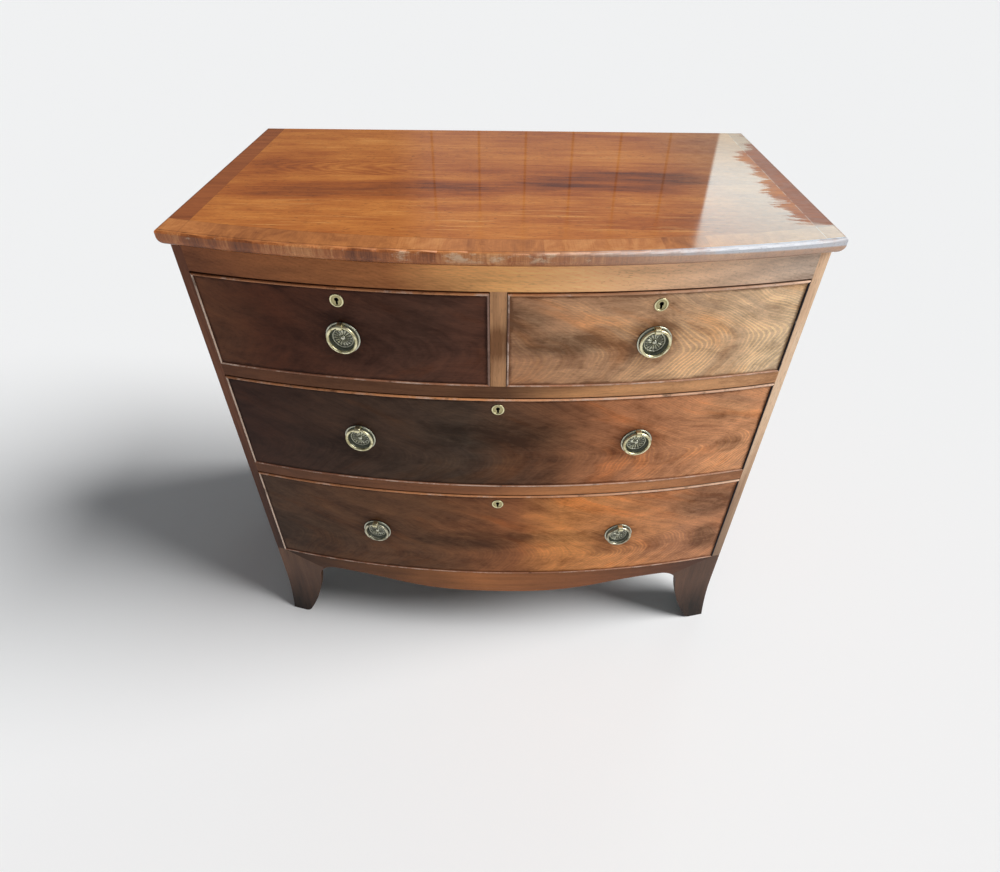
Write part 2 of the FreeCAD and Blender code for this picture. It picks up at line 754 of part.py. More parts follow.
def dovetailed_side(name, x, end_at, low, high, tails):
    """A drawer side with dovetails at both ends: lapped into the front, through the back."""
    pitch = f"((({high}) - ({low})) / {tails})"
    front_end = bow_y(end_at, "dims.lap")
    front_shoulder = bow_y(end_at, "dims.front_thick")
    rear_end = "dims.drawer_back"
    rear_shoulder = "dims.drawer_back - dims.drawer_wall"
    narrow = 2
    wide = 5
    corners = [(front_shoulder, high)]
    for index in range(tails):
        over = f"{high} - {index} * {pitch}"
        under = f"{high} - {index + 1} * {pitch}"
        corners += [
            (front_shoulder, f"{over} - {wide}"),
            (front_end, f"{over} - {narrow}"),
            (front_end, f"{under} + {narrow}"),
            (front_shoulder, f"{under} + {wide}"),
        ]
    corners.append((front_shoulder, low))
    corners.append((rear_shoulder, low))
    for index in range(tails):
        under = f"{low} + {index} * {pitch}"
        over = f"{low} + {index + 1} * {pitch}"
        corners += [
            (rear_shoulder, f"{under} + {wide}"),
            (rear_end, f"{under} + {narrow}"),
            (rear_end, f"{over} - {narrow}"),
            (rear_shoulder, f"{over} - {wide}"),
        ]
    corners.append((rear_shoulder, high))
    return pad(name, "YZ_Plane", corners, "dims.drawer_wall", x)


def make_drawer(name, opening_left, opening_right, low, height, tails, handles, handle_up, lock_x):
    """One drawer: bowed front, beads, dovetailed sides and back, grooved bottom, lock and handles."""
    left = f"({opening_left} + dims.gap_side)"
    right = f"({opening_right} - dims.gap_side)"
    base = f"({low} + dims.gap_under)"
    crown = f"({low} + {height} - dims.gap_over)"

    beads = cock_beads(f"{name}_bead", left, right, base, crown)
    node(group(f"{name}_beads", *beads), f"{name}_cockbead")

    panel_low = f"{base} + dims.floor_lift"
    reach = "(dims.drawer_wall - dims.groove)"
    panel = pad(
        f"{name}_panel", "XY_Plane",
        bow_to_back(f"{left} + {reach}", f"{right} - {reach}", "dims.front_thick - dims.groove",
                    "dims.drawer_back"),
        "dims.drawer_floor", panel_low,
    )
    node(panel, f"{name}_bottom")

    side_top = f"({crown} - dims.side_drop)"
    left_side = cut(f"{name}_left_cut",
                    dovetailed_side(f"{name}_left_blank", left, left, base, side_top, tails), panel)
    right_side = cut(f"{name}_right_cut",
                     dovetailed_side(f"{name}_right_blank", f"{right} - dims.drawer_wall", right, base,
                                     side_top, tails), panel)
    node(group(f"{name}_side_pair", left_side, right_side), f"{name}_sides")

    back_low = f"({panel_low} + dims.drawer_floor)"
    blank = block(f"{name}_back_blank", left, "dims.drawer_back - dims.drawer_wall", back_low,
                  f"{right} - {left}", "dims.drawer_wall", f"{crown} - dims.back_drop - {back_low}")
    node(cut(f"{name}_back_cut", blank, left_side, right_side), f"{name}_back")

    lock_seat, keyhole = make_lock(name, lock_x, crown)
    holes = make_handles(name, handles, f"{low} + {handle_up}")
    front = bowed_board(f"{name}_front_blank", left, right, "0", "dims.front_thick", base,
                        f"{crown} - {base}")
    joined = cut(f"{name}_front_joints", front, *beads, left_side, right_side, panel)
    node(cut(f"{name}_front_cut", joined, lock_seat, keyhole, *holes), f"{name}_front")


def make_lock(name, x, crown):
    """A lock let into the back of the drawer front, its sliding bolt, and the pierced scutcheon."""
    half = "dims.lock_width / 2"
    case_plan = [(f"-{half}", "0"), (half, "0"), (half, "dims.lock_thick"), (f"-{half}", "dims.lock_thick")]
    lip = f"({half} + 6)"
    lip_plan = [(f"-{lip}", "-1.5"), (lip, "-1.5"), (lip, "dims.lock_thick - 0.5"),
                (f"-{lip}", "dims.lock_thick - 0.5")]
    shell = pad(f"{name}_lock_shell", "XY_Plane", case_plan, "dims.lock_height", "-dims.lock_height")
    lip_plate = pad(f"{name}_lock_lip", "XY_Plane", lip_plan, "dims.selvage", "-dims.selvage")
    seat = fuse(f"{name}_lock_seat", shell, lip_plate)
    slot_half = "(dims.bolt_width / 2 + dims.play)"
    slot_front = "(dims.lock_thick / 2 - dims.bolt_thick / 2 - dims.play)"
    slot_back = "(dims.lock_thick / 2 + dims.bolt_thick / 2 + dims.play)"
    slot_plan = [(f"-{slot_half}", slot_front), (slot_half, slot_front), (slot_half, slot_back),
                 (f"-{slot_half}", slot_back)]
    slot = pad(f"{name}_lock_slot", "XY_Plane", slot_plan, "dims.bolt_height + 5",
               "-dims.bolt_height - 4")
    key = keyhole_pad(f"{name}_lock_key", "dims.lock_thick / 2 + 1", "-dims.lock_thick / 2",
                      "-dims.keyhole_down")
    case = set_on_bow(cut(f"{name}_lock_cut", seat, slot, key), x, crown, "dims.lock_inset")
    node(case, f"{name}_lock_case")
    hollow = set_on_bow(group(f"{name}_lock_hollow", seat), x, crown, "dims.lock_inset")

    bolt_half = "dims.bolt_width / 2"
    bolt_side = [
        (f"-{bolt_half}", "-dims.bolt_height"),
        (bolt_half, "-dims.bolt_height"),
        (bolt_half, "-3"),
        (f"{bolt_half} - 2.5", "-0.5"),
        (f"-{bolt_half} + 2.5", "-0.5"),
        (f"-{bolt_half}", "-3"),
    ]
    bolt = pad(f"{name}_bolt_shape", "XZ_Plane", bolt_side, "dims.bolt_thick",
               "-(dims.lock_thick + dims.bolt_thick) / 2")
    node(set_on_bow(bolt, x, crown, "dims.lock_inset"), f"{name}_lock_bolt")

    plate = turned(f"{name}_scutcheon_disc", [
        ("0", "0"),
        ("dims.scutcheon_radius", "0"),
        ("dims.scutcheon_radius", "-dims.scutcheon_thick * 0.4"),
        ("dims.scutcheon_radius - 1.2", "-dims.scutcheon_thick"),
        ("dims.scutcheon_radius - 2.4", "-dims.scutcheon_thick"),
        ("dims.scutcheon_radius - 3.2", "-dims.scutcheon_thick * 0.6"),
        ("0", "-dims.scutcheon_thick * 0.8"),
    ])
    pierced = cut(f"{name}_scutcheon_cut", plate, keyhole_pad(f"{name}_scutcheon_key", "3", "-1", "0"))
    level = f"{crown} - dims.keyhole_down"
    node(set_on_bow(pierced, x, level), f"{name}_escutcheon")
    channel = keyhole_pad(f"{name}_key_channel", "dims.lock_inset + 3", "-dims.lock_inset", "0")
    return hollow, set_on_bow(channel, x, level)


def keyhole_pad(name, depth, offset, level):
    """A keyhole's outline, a round over a slot, as deep as asked towards the front."""
    half = "dims.keyhole_slot / 2"
    neck = f"{level} - sqrt(dims.keyhole_radius ^ 2 - ({half}) ^ 2)"
    shoulder = [
        (f"-{half}", f"{level} - dims.keyhole_length"),
        (half, f"{level} - dims.keyhole_length"),
        (half, neck),
        ("dims.keyhole_radius", level, "dims.keyhole_radius + 0.02"),
        ("-dims.keyhole_radius", level),
        (f"-{half}", neck),
    ]
    return pad(name, "XZ_Plane", shoulder, depth, offset)


def make_handles(name, places, level):
    """The stamped plates and eye posts of a drawer's ring handles, and each ring as a node of its own."""
    fixed = []
    holes = []
    for side, x in places:
        label = f"{name}_{side}" if side else name
        post = eye_post(f"{label}_post")
        plate = cut(f"{label}_plate", rosette_plate(f"{label}_disc"), post)
        nut = pad(f"{label}_nut", "XZ_Plane", hexagon("dims.nut_radius", "dims.pivot_up"),
                  "dims.nut_thick", "-dims.front_thick - dims.nut_thick - 0.4")
        bored = cut(f"{label}_nut_bored", nut, post)
        fixed.append(set_on_bow(group(f"{label}_fixed", plate, post, bored), x, level))
        hole = cylinder(f"{label}_hole", "dims.shank_radius", "dims.front_thick + 2",
                        Rotation(Vector(1, 0, 0), -90), y="-1", z="dims.pivot_up")
        holes.append(set_on_bow(group(f"{label}_hole_place", hole), x, level))
        node(set_on_bow(handle_ring(f"{label}_torus"), x, level), f"{label}_ring")
    node(group(f"{name}_fixed_set", *fixed), f"{name}_handle_plates")
    return holes


def hexagon(radius, level):
    return [
        (f"{radius} * cos({60 * step})", f"{level} + {radius} * sin({60 * step})")
        for step in range(6)
    ]


def rosette_plate(name):
    """A round plate with a raised rim and a rosette, the rosette cut into petals by radial grooves."""
    rim = "dims.plate_radius"
    shape = [
        ("0", "0"),
        (rim, "0"),
        (rim, "-dims.plate_rim * 0.5"),
        (f"{rim} - dims.rim_width * 0.35", "-dims.plate_rim"),
        (f"{rim} - dims.rim_width * 0.75", "-dims.plate_rim"),
        (f"{rim} - dims.rim_width", "-dims.plate_web"),
        ("dims.rosette_radius", "-dims.plate_web"),
        ("dims.rosette_radius - 0.8", "-dims.rosette_rise"),
        ("dims.rosette_radius - 2.6", "-dims.rosette_rise"),
        ("dims.rosette_radius - 3.4", "-dims.rosette_rise * 0.75"),
        ("4.2", "-dims.rosette_rise"),
        ("3.6", "-dims.rosette_rise - 0.9"),
        ("2", "-dims.rosette_rise - 1.4"),
        ("0", "-dims.rosette_rise - 1.5"),
    ]
    body = turned(name, shape)
    sketch = new_sketch(body, f"{name}_groove", "XZ_Plane", [
        ("-0.25", "4.6"),
        ("0.25", "4.6"),
        ("0.7", "dims.rosette_radius - 3.6"),
        ("-0.7", "dims.rosette_radius - 3.6"),
    ], "dims.rosette_rise * 0.7")
    pocket = body.newObject("PartDesign::Pocket", f"{name}_groove_cut")
    pocket.Profile = sketch
    pocket.Type = "ThroughAll"
    pocket.Reversed = True
    pattern = body.newObject("PartDesign::PolarPattern", f"{name}_petals")
    pattern.Originals = [pocket]
    pattern.Axis = (sketch, ["N_Axis"])
    pattern.Angle = 360
    bind(pattern, Occurrences="dims.petal_count")
    body.Tip = pattern
    return body


def eye_post(name):
    """The post that carries the ring: a rounded eye in front of the plate and a shank through the drawer."""
    foot = "-dims.plate_web"
    out = "-dims.pivot_out"
    up = "dims.pivot_up"
    size = "dims.eye_radius"
    side = [
        (foot, f"{up} + {size}"),
        (out, f"{up} + {size}", size),
        (out, f"{up} - {size}"),
        (foot, f"{up} - {size}"),
    ]
    cheek = pad(f"{name}_cheek", "YZ_Plane", side, "dims.eye_width", midplane=True)
    bore = cylinder(f"{name}_bore", "dims.eye_bore", "2 * dims.eye_width",
                    Rotation(Vector(0, 1, 0), 90), x="-dims.eye_width", y=out, z=up)
    shank = cylinder(f"{name}_shank", "dims.shank_radius", "dims.front_thick + dims.nut_thick + 4",
                     Rotation(Vector(1, 0, 0), -90), y="-dims.plate_web - 0.5", z=up)
    return fuse(f"{name}_whole", cut(f"{name}_eye", cheek, bore), shank)


def handle_ring(name):
    """A plain round ring, hanging from the eye."""
    body = new_body(name)
    sketch = body.newObject("Sketcher::SketchObject", f"{name}_wire")
    plane = [item for item in body.Origin.OriginFeatures if item.Role == "XY_Plane"]
    sketch.AttachmentSupport = [(plane[0], "")]
    sketch.MapMode = "FlatFace"
    bind(sketch, AttachmentOffset__Base__z="dims.pivot_up - dims.ring_radius")
    centre = Vector(value("dims.ring_radius"), -value("dims.pivot_out"), 0)
    circle = sketch.addGeometry(Part.Circle(centre, Vector(0, 0, 1), value("dims.ring_wire")))
    sketch.addConstraint([
        Sketcher.Constraint("DistanceX", -1, 1, circle, 3, centre.x),
        Sketcher.Constraint("DistanceY", -1, 1, circle, 3, centre.y),
        Sketcher.Constraint("Radius", circle, value("dims.ring_wire")),
    ])
    for index, formula in enumerate(("dims.ring_radius", "-dims.pivot_out", "dims.ring_wire")):
        sketch.setExpression(f"Constraints[{index}]", formula)
    turn = body.newObject("PartDesign::Revolution", f"{name}_turn")
    turn.Profile = sketch
    turn.ReferenceAxis = (sketch, ["V_Axis"])
    turn.Angle = 360
    return body


def make_drawers():
    half_divider = "dims.divider_width / 2"
    make_drawer("short_left", f"-{INSIDE}", f"-{half_divider}", SHORT_ROW, "dims.short_height", 3,
                [("", "-dims.short_handle")], "dims.short_handle_up", "-dims.short_handle")
    make_drawer("short_right", half_divider, INSIDE, SHORT_ROW, "dims.short_height", 3,
                [("", "dims.short_handle")], "dims.short_handle_up", "dims.short_handle")
    pair = [("left", "-dims.long_handle"), ("right", "dims.long_handle")]
    make_drawer("middle", f"-{INSIDE}", INSIDE, MIDDLE_ROW, "dims.middle_height", 4, pair,
                "dims.middle_handle_up", "0")
    make_drawer("bottom", f"-{INSIDE}", INSIDE, SHELF, "dims.bottom_height", 5, pair,
                "dims.bottom_handle_up", "0")


def write_parts():
    """Recompute, refuse any object in error, and write each sub-part."""
    doc.recompute()
    for thing in doc.Objects:
        bad = [state for state in thing.State if state in ("Invalid", "Error")]
        if bad:
            raise RuntimeError(f"{thing.Name} ({thing.Label}) is {bad}")
    for thing in nodes:
        if thing.Shape.isNull() or not thing.Shape.isValid() or not thing.Shape.Solids:
            raise RuntimeError(f"{thing.Label} has no valid solid")
    os.makedirs("parts", exist_ok=True)
    for thing in nodes:
        thing.Shape.exportStep(f"parts/{thing.Label}.step")
        print(f"{thing.Label}: {len(thing.Shape.Solids)} solid(s), {thing.Shape.Volume / 1000:.1f} cm3")
    print(f"{len(nodes)} sub-parts")


make_top()
make_sides()
make_rails()
make_divider()
make_boards()
make_strips()
make_feet(make_apron())
make_drawers()
write_parts()
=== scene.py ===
# %% [markdown]
# # A bow front chest of drawers
# The joinery is already built to size, so this lesson is about its looks: old waxed mahogany, worn beads
# and tarnished brass. We load the chest as a fixed frame first. Nothing in it is ever moved. Pieces that
# need more shape than the frame has are modelled here and stand in for the plain ones.

import json
import math

import bmesh
import bpy
from mathutils import Matrix, Vector, noise

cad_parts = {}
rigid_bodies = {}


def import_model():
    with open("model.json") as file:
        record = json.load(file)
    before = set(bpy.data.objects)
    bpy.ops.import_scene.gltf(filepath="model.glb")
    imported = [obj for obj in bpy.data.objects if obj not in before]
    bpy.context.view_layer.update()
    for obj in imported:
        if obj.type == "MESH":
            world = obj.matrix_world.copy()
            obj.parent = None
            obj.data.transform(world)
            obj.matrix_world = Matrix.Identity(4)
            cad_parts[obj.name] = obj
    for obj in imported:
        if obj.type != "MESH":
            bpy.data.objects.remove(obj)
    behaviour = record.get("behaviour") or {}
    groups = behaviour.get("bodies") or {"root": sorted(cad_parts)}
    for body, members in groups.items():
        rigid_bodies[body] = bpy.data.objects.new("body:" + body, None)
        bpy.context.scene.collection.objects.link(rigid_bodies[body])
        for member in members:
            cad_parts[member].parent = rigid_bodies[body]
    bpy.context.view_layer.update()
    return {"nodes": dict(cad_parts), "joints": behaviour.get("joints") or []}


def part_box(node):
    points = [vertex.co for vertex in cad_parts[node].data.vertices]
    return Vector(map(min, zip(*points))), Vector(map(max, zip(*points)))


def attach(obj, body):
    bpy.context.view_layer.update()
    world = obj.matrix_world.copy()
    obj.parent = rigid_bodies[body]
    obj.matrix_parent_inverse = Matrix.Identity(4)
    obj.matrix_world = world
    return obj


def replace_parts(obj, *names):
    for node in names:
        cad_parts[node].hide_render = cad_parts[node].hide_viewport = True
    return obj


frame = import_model()
nodes = frame["nodes"]

# %% [markdown]
# ## The bow
# Every drawer front, rail and bead follows one upright cylinder. Points could be read off a rail's mesh,
# but a formula holds at every place. Its radius comes from two things that a maker would measure with a
# straight edge: the width of the case, and how far the middle stands out.

# %% Measure the bow
MM = 0.001
BOW_RISE = 55 * MM
CASE_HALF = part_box("side_right")[1].x
BOW_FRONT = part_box("frieze_rail")[0].y
BOW_RADIUS = (CASE_HALF**2 + BOW_RISE**2) / (2 * BOW_RISE)
BOW_CENTRE = BOW_FRONT + BOW_RADIUS


def face_y(x, out=0.0):
    """How far back the bowed face is at x, or a shell that stands out from it."""
    return BOW_CENTRE - math.sqrt((BOW_RADIUS + out) ** 2 - x * x)


print("bow radius", round(BOW_RADIUS, 4), "front", round(BOW_FRONT, 4))

# %% [markdown]
# ## The camera
# The eye is close, a little above the top, and looks down through a short lens. A longer lens from farther
# away would fill the frame as well, but only a short one close up makes the feet look small and the top
# large. The camera is set down by its place and three turns: down, aside, and a slight lean.

# %% Camera
CAMERA_PLACE = Vector((0.0126, -1.0128, 1.1882))
CAMERA_PITCH = -0.7064
CAMERA_YAW = -0.0123
CAMERA_ROLL = 0.0071
LENS = 22.23
SENSOR = 36

ahead = Vector((math.sin(CAMERA_YAW) * math.cos(CAMERA_PITCH),
                math.cos(CAMERA_YAW) * math.cos(CAMERA_PITCH), math.sin(CAMERA_PITCH)))
level = Vector((math.cos(CAMERA_YAW), -math.sin(CAMERA_YAW), 0))
upward = level.cross(ahead)
right = math.cos(CAMERA_ROLL) * level + math.sin(CAMERA_ROLL) * upward
upward = -math.sin(CAMERA_ROLL) * level + math.cos(CAMERA_ROLL) * upward
turned = Matrix((right, upward, -ahead)).transposed().to_4x4()

camera = bpy.data.objects.new("camera", bpy.data.cameras.new("camera"))
camera.data.lens = LENS
camera.data.sensor_width = SENSOR
camera.matrix_world = Matrix.Translation(CAMERA_PLACE) @ turned
bpy.context.collection.objects.link(camera)
bpy.context.scene.camera = camera
bpy.context.scene.view_settings.view_transform = "Standard"
print("camera at", [round(value, 3) for value in camera.location])

# %% [markdown]
# ## Building a finish from nodes
# A finish is a small recipe: where are we on the piece, what does the grain do there, and which colour and
# gloss follow. It could be wired by hand in the shader editor, but a chest has dozens of finishes that share
# most of their steps. Each method of the class below adds a node or a few, and hands back the socket that
# carries the answer, so recipes read like sums.


# %% A recipe for finishes
def tint(red, green, blue):
    """A colour as a painter mixes it on screen, 0 to 255, turned into the light that Blender counts in."""
    def one(part):
        part /= 255
        return part / 12.92 if part <= 0.04045 else ((part + 0.055) / 1.055) ** 2.4
    return (one(red), one(green), one(blue), 1.0)


class Finish:
    """A material whose nodes are added one by one."""

    def __init__(self, name):
        self.material = bpy.data.materials.new(name)
        self.material.use_nodes = True
        self.tree = self.material.node_tree
        self.shader = self.tree.nodes["Principled BSDF"]
        self.locate("Object")

    def locate(self, kind):
        self.place = self.add("ShaderNodeTexCoord").outputs[kind]
        parts = self.add("ShaderNodeSeparateXYZ", {"Vector": self.place}).outputs
        self.x, self.y, self.z = parts["X"], parts["Y"], parts["Z"]

    def add(self, kind, inputs=None, **settings):
        node = self.tree.nodes.new(kind)
        for name, setting in settings.items():
            setattr(node, name, setting)
        for name, value in (inputs or {}).items():
            self.feed(node.inputs[name], value)
        return node

    def feed(self, socket, value):
        if isinstance(value, bpy.types.NodeSocket):
            self.tree.links.new(value, socket)
        else:
            socket.default_value = value

    def sum(self, operation, *values, clamp=False):
        """One sum, such as ADD or MULTIPLY."""
        return self.add("ShaderNodeMath", dict(enumerate(values)), operation=operation,
                        use_clamp=clamp).outputs[0]

    def product(self, *values):
        result = values[0]
        for value in values[1:]:
            result = self.sum("MULTIPLY", result, value)
        return result

    def sway(self, value, mark, share):
        """A value that a mark between 0 and 1 moves up or down, by a share of how far it is from a half."""
        return self.sum("MULTIPLY_ADD", self.sum("SUBTRACT", mark, 0.5), share, value)

    def spot(self, x=0.0, y=0.0, z=0.0):
        return self.add("ShaderNodeCombineXYZ", {"X": x, "Y": y, "Z": z}).outputs[0]

    def scaled(self, x, y, z, seed=0.0):
        """The place on the piece, with each direction stretched by its own factor."""
        return self.add("ShaderNodeVectorMath", {0: self.place, 1: (x, y, z), 2: (seed, seed, seed)},
                        operation="MULTIPLY_ADD").outputs[0]

    def noise(self, where, scale=1.0, detail=3.0, roughness=0.5, distortion=0.0):
        return self.add("ShaderNodeTexNoise", {
            "Vector": where, "Scale": scale, "Detail": detail, "Roughness": roughness,
            "Distortion": distortion,
        }).outputs["Fac"]

    def ease(self, value, low, high, start=0.0, end=1.0):
        """Turn a range of values smoothly into another."""
        return self.add("ShaderNodeMapRange", {
            "Value": value, "From Min": low, "From Max": high, "To Min": start, "To Max": end,
        }, interpolation_type="SMOOTHSTEP").outputs["Result"]

    def between(self, value, low, high, soft):
        """1 where a value lies between two others, with soft ends."""
        return self.sum("MULTIPLY", self.ease(value, low - soft, low + soft),
                        self.ease(value, high + soft, high - soft))

    def mix(self, factor, first, second, blend="MIX"):
        return self.add("ShaderNodeMix", {0: factor, 6: first, 7: second}, data_type="RGBA",
                        blend_type=blend).outputs[2]

    def cast(self, share, colour, factor):
        """A colour, turned by a share towards what it is when multiplied by a factor."""
        return self.mix(share, colour, self.mix(1.0, colour, factor, "MULTIPLY"))

    def ramp(self, value, *stops):
        """Colours along a value, each stop as (position, colour)."""
        node = self.add("ShaderNodeValToRGB", {"Fac": value})
        elements = node.color_ramp.elements
        while len(elements) < len(stops):
            elements.new(0.5)
        for element, (position, colour) in zip(elements, stops):
            element.position = position
            element.color = colour
        return node.outputs["Color"]

    def relief(self, height, depth):
        """Small relief of a real depth, in metres."""
        inputs = {"Height": height, "Distance": depth, "Strength": 1.0}
        return self.add("ShaderNodeBump", inputs).outputs["Normal"]

    def patch(self, centre, size, ragged, depth=0.6, flat=False):
        """1 in the middle of a ragged patch in x and z, or in x and y if flat, and 0 outside it."""
        second = self.y if flat else self.z
        one = self.sum("DIVIDE", self.sum("SUBTRACT", self.x, centre[0]), size[0])
        other = self.sum("DIVIDE", self.sum("SUBTRACT", second, centre[1]), size[1])
        far = self.sum("SQRT", self.sum("MULTIPLY_ADD", one, one, self.sum("MULTIPLY", other, other)))
        far = self.sum("MULTIPLY_ADD", ragged, depth, far)
        outside, inside = 1.25 + depth / 2, 0.45 + depth / 2
        return self.ease(far, outside, inside)


# %% [markdown]
# ## Floor and light
# The floor is a plain pale sheet, a hair below the feet. A low, wide sun from the right casts the long soft
# shadow, and a room all round fills it. The room matters because waxed wood is a dull mirror: in front of a
# white wall a chest looks milky. Lamps could make that room, but they would light the floor as well, so it
# is painted by direction: a dim wall behind the chest and a bright window to its right. The window is what
# lies across the right end of the top, and a blind beside it draws the thin upright lines there.

# %% Floor
FLOOR_PAINT = (0.9, 0.9, 0.9, 1)
FLOOR_SIZE = 60
FLOOR_LEVEL = -0.4 * MM

bpy.ops.mesh.primitive_plane_add(size=FLOOR_SIZE, location=(0, 0, FLOOR_LEVEL))
floor = bpy.context.object
floor.name = "floor"
floor_finish = Finish("floor_paint")
floor_finish.shader.inputs["Base Color"].default_value = FLOOR_PAINT
floor_finish.shader.inputs["Roughness"].default_value = 1.0
floor_finish.shader.inputs["Specular IOR Level"].default_value = 0.0
floor.data.materials.append(floor_finish.material)
print("floor", FLOOR_SIZE, "wide")

# %% Sun
SUN_HEIGHT = math.radians(40)
SUN_TURN = math.radians(5)
SUN_WIDTH = math.radians(34)
SUN_POWER = 3.95

towards = Vector((math.cos(SUN_HEIGHT) * math.cos(SUN_TURN), -math.cos(SUN_HEIGHT) * math.sin(SUN_TURN),
                  math.sin(SUN_HEIGHT)))
sun = bpy.data.objects.new("sun", bpy.data.lights.new("sun", "SUN"))
sun.data.energy = SUN_POWER
sun.data.angle = SUN_WIDTH
sun.rotation_mode = "QUATERNION"
sun.rotation_quaternion = towards.to_track_quat("Z", "Y")
bpy.context.collection.objects.link(sun)
print("sun from", [round(value, 2) for value in towards])


# %% Room
class Room(Finish):
    """The same recipe book for the world, where the place is a direction."""

    def __init__(self, world):
        world.use_nodes = True
        self.tree = world.node_tree
        self.locate("Generated")


world = bpy.data.worlds.new("room")
bpy.context.scene.world = world
room = Room(world)
turn = room.sum("DEGREES", room.sum("ARCTAN2", room.x, room.y))
height = room.sum("DEGREES", room.sum("ARCSINE", room.z))
print("room measured by turn and height, with", len(room.tree.nodes), "nodes so far")

# %% Wall and blind
DIM_ROOM = (0.14, 0.14, 0.145, 1)
DARK_WALL = (0.10, 0.10, 0.10, 1)
COOL_WALL = (0.21, 0.235, 0.265, 1)
SLAT = (0.09, 0.09, 0.09, 1)
SLAT_SPACING = 4.06
SLAT_START = 100.15

wall = room.product(room.ease(turn, -80, -45), room.ease(turn, 80, 45), room.ease(height, 62, 40))
slats = room.sum("PINGPONG", room.sum("ADD", turn, SLAT_START), SLAT_SPACING / 2)
slats = room.product(room.ease(slats, 0.16, 0.02), room.between(turn, -10, 15, 1))
wall_colour = room.mix(room.ease(turn, -11, -6), DARK_WALL, COOL_WALL)
around = room.mix(wall, DIM_ROOM, room.mix(slats, wall_colour, SLAT))
print("a slat each", SLAT_SPACING, "degrees")

# %% Window
BACKDROP = tint(242, 242, 242)

pane_width = room.product(room.ease(turn, 17.2, 17.5), room.ease(turn, 40, 34))
pane_rise = room.product(room.ease(height, 5, 9), room.ease(height, 31, 26))
pane_light = room.product(room.ease(height, 12.5, 18, 1.3, 2.9), room.ease(height, 21, 23.5, 1.0, 0.75))
pane_red = room.ease(height, 13, 17, 0.83, 0.71)
pane_green = 0.93
pane_blue = room.ease(height, 13, 17, 0.82, 0.95)
pane_colour = room.spot(*[room.product(pane_light, part) for part in (pane_red, pane_green, pane_blue)])
around = room.mix(room.product(pane_width, pane_rise), around, pane_colour)
seen = room.add("ShaderNodeLightPath").outputs["Is Camera Ray"]
background = room.tree.nodes["Background"]
room.feed(background.inputs["Color"], room.mix(seen, around, BACKDROP))
background.inputs["Strength"].default_value = 1.0
print("window and", len(room.tree.nodes), "nodes in the room")

# %% [markdown]
# ## Mahogany
# Long fibres run along a board, so its colour is stretched far along them and changes quickly across them.
# A picture of wood would repeat from board to board, while stretched noise never does. Three sizes of it
# make broad clouds, streaks a few millimetres wide, and fine fibres with dark pores. Wax sits on top, so the
# gloss is even, but the pores break it.


# %% Grain
def grain(finish, along, seed=0.0, coarse=1.0):
    """Clouds, streaks, fibres and pores of a board whose fibres run along x, y or z.

    Each pair of numbers says how fast a mark changes along the fibres and across them.
    """
    def stretched(long, short):
        factors = {axis: (long if axis == along else short) for axis in "xyz"}
        return finish.scaled(factors["x"], factors["y"], factors["z"], seed)
    return {
        "cloud": finish.noise(stretched(3 * coarse, 9 * coarse), detail=4, roughness=0.55, distortion=0.4),
        "streak": finish.noise(stretched(4 * coarse, 95 * coarse), detail=5, roughness=0.62, distortion=0.25),
        "fibre": finish.noise(stretched(22, 620), detail=2, roughness=0.6),
        "pore": finish.noise(stretched(90, 1300), detail=1, roughness=0.5),
    }


def tone(finish, marks, cloud=0.9, streak=0.8, fibre=0.3):
    """One lightness value, about 0 to 1, from the marks of the grain."""
    value = 0.5
    for mark, share in (("cloud", cloud), ("streak", streak), ("fibre", fibre)):
        value = finish.sway(value, marks[mark], share)
    return value


# %% Wax
PORE = (0.02, 0.008, 0.004, 1)


def waxed(finish, marks, colour, gloss=0.3, depth=0.06 * MM, level=0.5, pore=0.24):
    """Finish a wooden face: pores darken the colour, break the gloss and dent the surface."""
    pores = finish.ease(marks["pore"], 0.58, 0.68)
    colour = finish.mix(finish.sum("MULTIPLY", pores, pore), colour, PORE)
    finish.feed(finish.shader.inputs["Base Color"], colour)
    rough = finish.sum("MULTIPLY_ADD", marks["fibre"], gloss * 0.5, gloss * 0.75)
    finish.feed(finish.shader.inputs["Roughness"], rough)
    finish.shader.inputs["Specular IOR Level"].default_value = level
    swell = finish.sum("MULTIPLY_ADD", marks["streak"], 0.5, marks["fibre"])
    finish.feed(finish.shader.inputs["Normal"], finish.relief(swell, depth))
    return finish.material


# %% Aged colour
SHADE = [(0.10, (0.42, 0.35, 0.30, 1)), (0.5, (0.95, 0.93, 0.91, 1)), (0.9, (1.45, 1.38, 1.28, 1))]


def across(finish, marks, *stops):
    """Colours that follow each other from left to right, as (x, colour), with a cloudy change between."""
    drift = finish.sway(finish.x, marks["cloud"], 0.18)
    share = finish.sum("DIVIDE", finish.sum("ADD", drift, CASE_HALF), 2 * CASE_HALF, clamp=True)
    return finish.ramp(share, *[((x + CASE_HALF) / (2 * CASE_HALF), tint(*colour)) for x, colour in stops])


def shaded(finish, base, value):
    """A base colour, darker where the value is low."""
    return finish.mix(1.0, base, finish.ramp(value, *SHADE), "MULTIPLY")


def three_tones(finish, value, dark, medium, light):
    """Three colours, from where a value is low to where it is high."""
    return finish.ramp(value, (0.15, tint(*dark)), (0.5, tint(*medium)), (0.9, tint(*light)))


def dress(name, material):
    """Give a frame node one finish."""
    nodes[name].data.materials.clear()
    nodes[name].data.materials.append(material)


# %% [markdown]
# ## Drawer fronts
# The fronts are veneered with figured wood. Where a tree forks, its rings turn back on themselves, and the
# veneer shows nested hooks that open to the left. They could be painted line by line, but one sum draws them
# all: how far right a place is, plus how far back to the left a ring has run at its height. The sum stays the
# same along each ring, so its sine makes the lines. Far from the hook's middle the arms run straight, and
# near it they are round. The dark heart of the tree is added as ragged patches.


